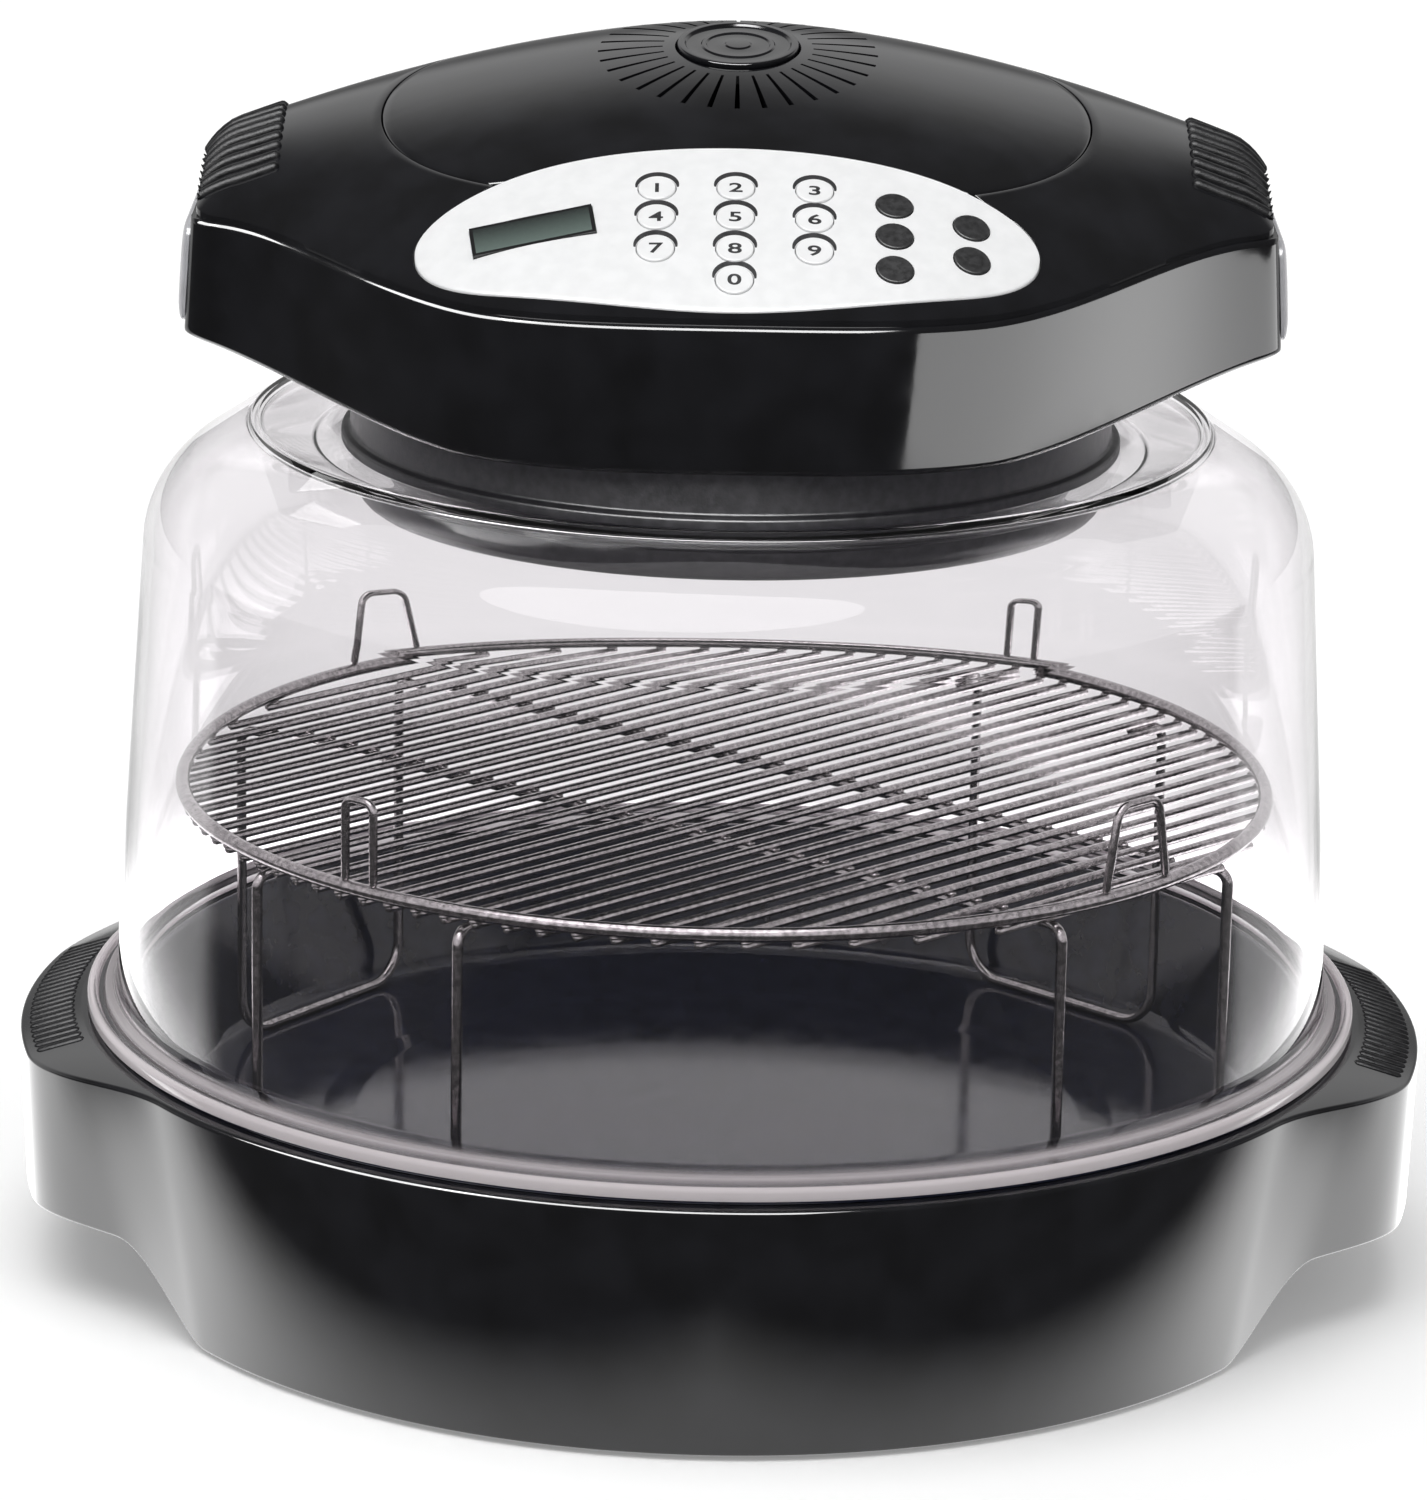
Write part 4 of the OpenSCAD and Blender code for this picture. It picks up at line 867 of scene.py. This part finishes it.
def cover_section(a):
    """The cover's shell, cut at an angle from the seam round panel and crown to its edge."""
    cx, cy = cover_x, cover_y
    inner = reach(lambda x, y: in_panel(x, y, seam_gap) or in_oval(x, y, seam_gap), cx, cy, a)
    outer = reach(in_cover, cx, cy, a)

    def at(r, down):
        x, y = cx + r * cos(a), cy + r * sin(a)
        return (x, y, cover_z(x, y) - down)

    points = [at(inner, cover_wall), at(inner, lip_drop), at(inner + lip_round, lip_round),
        at(inner + lip_drop, 0)]
    count = 40
    for k in range(1, count + 1):
        f = 1 - (1 - k / count) ** 1.9
        points.append(at(inner + lip_drop + (outer - inner - lip_drop) * f, 0))
    x, y = cx + outer * cos(a), cy + outer * sin(a)
    points.append((x, y, rim_z(x) - 0.4))
    for f in (0.985, 0.9, 0.6, 0.3):
        r = inner + (outer - inner) * f
        x, y = cx + r * cos(a), cy + r * sin(a)
        points.append((x, y, max(rim_z(x) - 0.4, cover_z(x, y) - 2.6)))
    return points


cover = band("Head_cover",
    [cover_section(a) for a in even_angles(in_cover, cover_x, cover_y, 560)])
fit(cover, black_gloss, "black_shell", "head", "top_cover", angle=40)

slot_count, slot_half, slot_start, slot_end = 32, 0.75, 21, 39
columns, outer_rings = 12, 31
vent_rings = [17.6, 19, slot_start, 25.5, 30, 34.5, slot_end]
points, faces = [], []
turn = 2 * pi / slot_count
edge = asin(slot_half / slot_end)
for i in range(slot_count):
    for j in range(columns):
        a = i * turn + (-edge if j == 0 else edge + (turn - 2 * edge) * (j - 1) / (columns - 1))
        far = reach(in_crown, vent_x, vent_y, a)
        line = [(17.3, cover_wall), (17.3, 0.4)] + [(r, 0) for r in vent_rings]
        line += [(slot_end + (far - lip_drop - slot_end) * (k / outer_rings), 0)
            for k in range(1, outer_rings)]
        line += [(far - lip_drop, 0), (far - lip_round, lip_round), (far, lip_drop),
            (far, cover_wall)]
        line += [(r, 2.6) for r in (far * 0.8 + 8, 60 if far > 70 else far * 0.6 + 16)]
        line += [(r, cover_wall) for r in (slot_end, slot_start)]
        for r, down in line:
            x, y = vent_x + r * cos(a), vent_y + r * sin(a)
            points.append((x, y, cover_z(x, y) - down))
m = len(line)
n = slot_count * columns
first, last = 2 + vent_rings.index(slot_start), 2 + vent_rings.index(slot_end)
for i in range(n):
    on = (i + 1) % n
    for j in range(m):
        cut = i % columns == 0 and (first <= j < last or j == m - 2)
        if not cut:
            faces.append((i * m + j, on * m + j, on * m + (j + 1) % m, i * m + (j + 1) % m))
    if i % columns == 0:
        for side in (i, on):
            faces.append(tuple(side * m + j for j in list(range(first, last + 1)) + [m - 2, m - 1]))
        faces.append((i * m + first, on * m + first, on * m + m - 1, i * m + m - 1))
        faces.append((i * m + last, on * m + last, on * m + m - 2, i * m + m - 2))
crown = fresh("Head_crown", points, faces)
fit(crown, black_gloss, "black_shell", "head", "crown_cap", angle=40)


def on_cover(x, y, d=0.5):
    """Matrix that stands a piece drawn in millimetres on the cover over a point, its X sideways."""
    z = Vector((cover_z(x - d, y) - cover_z(x + d, y), cover_z(x, y - d) - cover_z(x, y + d),
        2 * d)).normalized()
    side = (Vector((1, 0, 0)) - z * z.x).normalized()
    turned_axes = Matrix((side, z.cross(side), z)).transposed().to_4x4()
    return Matrix.Translation(Vector((x, y, cover_z(x, y))) * MM) @ turned_axes


disc = turned("Vent_disc", filleted([
    (0, 0.35, 0), (3.4, 0.35, 0.3), (3.8, 0.0, 0.3), (8.6, -0.1, 0.3), (9, 0.3, 0.2),
    (10, 0.3, 0.2), (10.4, -0.1, 0.3), (14.4, -0.1, 0.4), (15, 0.66, 0.4), (16.9, 0.66, 0.5),
    (16.9, -cover_wall, 0.2), (0, -cover_wall, 0)], 4), 96)
disc.data.transform(on_cover(vent_x, vent_y))
fit(disc, black_gloss, "black_shell", "head", "vent_disc")

# Grips: moulded ribs of grained ABS over the two ends of the head, each running out in a rounded
# end, and a convex grey cap pressed into each end of the housing.
rib_count, first_rib_y, grip_rib_pitch = 13, -27.5, 5
rib_start, rib_bend = 126.2, 138.5
rib_xs = ([rib_start + (rib_bend - rib_start) * i / 6 for i in range(7)]
    + [141, 143, 144.6, 146, 147, 147.8, 148.4])
for side, name in ((-1, "left"), (1, "right")):
    paths = []
    for k in range(rib_count):
        y = first_rib_y + grip_rib_pitch * k
        paths.append(round_ends([(side * x, y, cover_z(x, y) + 0.1) for x in rib_xs], 1.2))
    grip = bars(f"Grip_ribs_{name}", paths, 1.55, steps=4)
    fit(grip, black_grain, "grip_rib", "head", f"grip_pad_{name}", angle=60)

cap_plastic = finish("Grey end cap", (0.42, 0.42, 0.44), (0.50, 0.50, 0.525), (0.16, 0.26),
    grain=120, bump=0.04, fine=600)
for side, name in ((-1, "left"), (1, "right")):
    low, high = low_z(head_half_l + end_lean) + 2.5, rim_z(head_half_l) - 1.5
    half_w, half_h, middle = 33.5, (high - low) / 2, (low + high) / 2
    sections = []
    for inset, out in ((0, 0.05), (0, 0.9), (0.35, 1.3), (1.2, 1.75), (3, 2.2), (6.5, 2.5),
            (11, 2.65)):
        outline = filleted([(-half_w + inset, inset - half_h, 5),
            (half_w - inset, inset - half_h, 5), (half_w - inset, half_h - inset, 5),
            (inset - half_w, half_h - inset, 5)], 6)
        sections.append([(side * (head_half_l + out
            + end_lean * (high + 1.5 - (p.y + middle)) / (high - low + 4)),
            p.x, p.y + middle) for p in outline])
    cap = band(f"End_cap_{name}", sections, ring=False)
    fit(cap, cap_plastic, "end_cap", "head", f"end_cap_{name}", angle=40)

# Cord bushing: black rubber, pressed into the back of the housing.
inlet_rubber = finish("Cord bushing rubber", (0.014, 0.014, 0.014), (0.028, 0.028, 0.029),
    (0.55, 0.72), grain=600, bump=0.25, fine=2000)
dress(inlet_rubber, "power_inlet")

# Control board under the panel: green laminate on four posts, with the display module and the
# white silicone keypad sheet that the keys stand on.
laminate = finish("Green laminate", (0.02, 0.11, 0.05), (0.035, 0.16, 0.075), (0.3, 0.45),
    grain=240, bump=0.1, fine=1200)
dress(laminate, "control_board", "lcd_module")
silicone = finish("White silicone", (0.72, 0.73, 0.74), (0.80, 0.81, 0.82), (0.5, 0.65),
    grain=300, bump=0.1, fine=1400)
dress(silicone, "keypad_membrane")

# Panel: a white polycarbonate plate let into the cover. The keys stand through it, the numbered
# ones each under a printed black arc, and the display window sits in it at a slant.
key_r, key_fit = 5, 0.3
key_pitch_x, key_pitch_y = 21.2, 10.8
digit_y = panel_y - 3.5
key_places = {"key_0": (0, digit_y - 20.52)}
for d in range(1, 10):
    row, column = divmod(d - 1, 3)
    key_places[f"key_{d}"] = ((column - 1) * key_pitch_x, digit_y + (1 - row) * key_pitch_y)
for i, spot in enumerate(((42.7, 4.5), (42.7, -6.7), (42.7, -17.9), (63.4, 2), (63.4, -9.4)), 1):
    key_places[f"function_key_{i}"] = (spot[0], panel_y + spot[1])
lcd_x, lcd_y, lcd_w, lcd_d, lcd_turn = -54.3, panel_y - 4.2, 33.5, 11.5, 8
panel_up, panel_low = 0.3, -1.7


def panel_section(a):
    """The panel's plate cut from its middle to its edge, a little proud of the cover."""
    cx, cy = panel_x, panel_y
    far = reach(in_panel, cx, cy, a)
    line = [(0, panel_up)]
    line += [((far - 0.9) * (1 - (1 - k / 24) ** 1.3), panel_up) for k in range(1, 25)]
    line += [(far - 0.35, 0.22), (far - 0.1, 0.05), (far, -0.2)]
    line += [(r, panel_low) for r in (far, far * 0.66, far * 0.33, 0)]
    points = []
    for r, up in line:
        x, y = cx + r * cos(a), cy + r * sin(a)
        points.append((x, y, cover_z(x, y) + up))
    return points


panel = band("Panel_plate",
    [panel_section(a) for a in even_angles(in_panel, panel_x, panel_y, 300)])
cutters = []
for spot in key_places.values():
    bpy.ops.mesh.primitive_cylinder_add(vertices=48, radius=(key_r + key_fit) * MM, depth=12 * MM)
    cutter = bpy.context.object
    cutter.data.transform(on_cover(*spot))
    cutters.append(cutter)
lcd_frame = on_cover(lcd_x, lcd_y) @ Matrix.Rotation(radians(lcd_turn), 4, "Z")
bpy.ops.mesh.primitive_cube_add(size=MM)
cutters.append(bpy.context.object)
cutters[-1].data.transform(lcd_frame @ Matrix.Diagonal((lcd_w + 0.4, lcd_d + 0.4, 12, 1)))
cutter = joined(cutters, "Panel_cutter")
alone(panel)
cut = panel.modifiers.new("Key holes", "BOOLEAN")
cut.operation = "DIFFERENCE"
cut.solver = "EXACT"
cut.object = cutter
bpy.ops.object.modifier_apply(modifier=cut.name)
bpy.data.objects.remove(cutter)
panel_white = finish("White panel", (0.88, 0.885, 0.89), (0.92, 0.925, 0.93), (0.28, 0.38),
    grain=200, bump=0.05, fine=1600)
fit(panel, panel_white, "panel_white", "head", "panel_plate", angle=25)

key_white = finish("White key", (0.88, 0.885, 0.89), (0.92, 0.925, 0.93), (0.3, 0.42),
    grain=200, bump=0.06, fine=1800)
key_black = finish("Black key", (0.008, 0.008, 0.009), (0.016, 0.016, 0.018), (0.42, 0.55),
    grain=600, bump=0.06, fine=1800)
print_black = finish("Printed black", (0.010, 0.010, 0.012), (0.022, 0.022, 0.025), (0.4, 0.55),
    grain=900, bump=0.05, fine=2400)
digit_widening = 1.45
for name, spot in key_places.items():
    cap = turned("Cap_" + name, filleted([(0, 0.74, 0), (3.6, 0.76, 1.0), (4.6, 0.8, 0.12),
        (key_r, 0.8, 0.35), (key_r, -1.9, 0.2), (0, -1.9, 0)], 4), 64)
    stand = on_cover(*spot)
    cap.data.transform(stand)
    digit = name.startswith("key")
    fit(cap, key_white if digit else key_black, "key_white" if digit else "key_black",
        name + "_cap", name)
    if not digit:
        continue
    bpy.ops.object.text_add()
    mark = bpy.context.object
    mark.data.body = name[-1]
    mark.data.align_x = "CENTER"
    mark.data.align_y = "CENTER"
    mark.data.size = 5.4 * MM
    mark.data.extrude = 0.02 * MM
    mark.data.offset = 0.09 * MM
    bpy.ops.object.convert(target="MESH")
    mark.name = mark.data.name = "Digit_" + name[-1]
    mark.data.transform(stand @ Matrix.Translation((0, -0.4 * MM, 0.79 * MM))
        @ Matrix.Diagonal((digit_widening, 1, 1, 1)))
    fit(mark, print_black, "key_black", name + "_cap")

arc_r, arc_thin, arc_thick, arc_up = 5.35, 0.25, 1.6, 0.34
arcs = []
for name, spot in key_places.items():
    if not name.startswith("key"):
        continue
    stand = on_cover(*spot)
    sections = []
    for k in range(29):
        a = radians(6 + 168 * k / 28)
        swell = sin(a) ** 0.8
        section = []
        outer = arc_r + arc_thin + arc_thick * swell
        for r, up in ((arc_r, 0), (outer, 0), (outer, -0.3), (arc_r, -0.3)):
            p = stand @ Vector((r * cos(a) * MM, r * sin(a) * MM, 0)) / MM
            section.append((p.x, p.y, cover_z(p.x, p.y) + arc_up + up))
        sections.append(section)
    arcs.append(band("Arc", sections, ring=False))
fit(joined(arcs, "Key_arcs"), print_black, "key_black", "head")

# Display window: a clear pane over a dark grey-green liquid crystal cell, with a printed border.
bpy.ops.mesh.primitive_grid_add(x_subdivisions=24, y_subdivisions=12, size=1)
window = bpy.context.object
window.name = window.data.name = "Display_window"
bpy.ops.object.mode_set(mode="EDIT")
bpy.ops.mesh.select_all(action="SELECT")
bpy.ops.mesh.extrude_region_move(TRANSFORM_OT_translate={"value": (0, 0, -1.0)})
bpy.ops.object.mode_set(mode="OBJECT")
window.data.transform(Matrix.Translation((0, 0, 0.2 * MM))
    @ Matrix.Diagonal((lcd_w * MM, lcd_d * MM, 1.4 * MM, 1)))
outwards()
attribute = window.data.attributes.new("place", "FLOAT_VECTOR", "POINT")
for item, vertex in zip(attribute.data, window.data.vertices):
    item.vector = (vertex.co.x / MM, vertex.co.y / MM, 0)
window.data.transform(lcd_frame)
cell = bpy.data.materials.new("Display cell")
cell.use_nodes = True
tree = cell.node_tree
shader = tree.nodes["Principled BSDF"]
shader.inputs["Coat Weight"].default_value = 0.8
shader.inputs["Coat Roughness"].default_value = 0.04
place = node(tree, "Attribute", attribute_name="place")
axes = node(tree, "SeparateXYZ", inputs={0: place.outputs["Vector"]})
mottle = noise(tree, place.outputs["Vector"], 0.6, 3.0)
height = node(tree, "MapRange", inputs={
    "Value": axes.outputs["Y"], "From Min": -lcd_d / 2, "From Max": lcd_d / 2})
mixed = math(tree, "MULTIPLY_ADD", mottle.outputs[0], 0.12, height.outputs[0])
ramp = node(tree, "ValToRGB", inputs={0: mixed.outputs[0]})
ramp.color_ramp.elements[0].color = (0.15, 0.20, 0.18, 1)
ramp.color_ramp.elements[1].color = (0.018, 0.024, 0.023, 1)
wide = math(tree, "ABSOLUTE", axes.outputs["X"])
tall = math(tree, "ABSOLUTE", axes.outputs["Y"])
lcd_border = 0.9
wide_in = math(tree, "SUBTRACT", wide.outputs[0], lcd_w / 2 - lcd_border)
tall_in = math(tree, "SUBTRACT", tall.outputs[0], lcd_d / 2 - lcd_border)
edge = math(tree, "MAXIMUM", wide_in.outputs[0], tall_in.outputs[0])
border = math(tree, "GREATER_THAN", edge.outputs[0], 0.0)
face = node(tree, "Mix", data_type="RGBA", inputs={
    0: border.outputs[0], 6: ramp.outputs[0], 7: (0.006, 0.006, 0.007, 1)})
tree.links.new(face.outputs[2], shader.inputs["Base Color"])
dull = node(tree, "MapRange", inputs={"Value": mottle.outputs[0], "To Min": 0.15, "To Max": 0.3})
tree.links.new(dull.outputs[0], shader.inputs["Roughness"])
fit(window, cell, "window_glass", "head", "lcd_window")
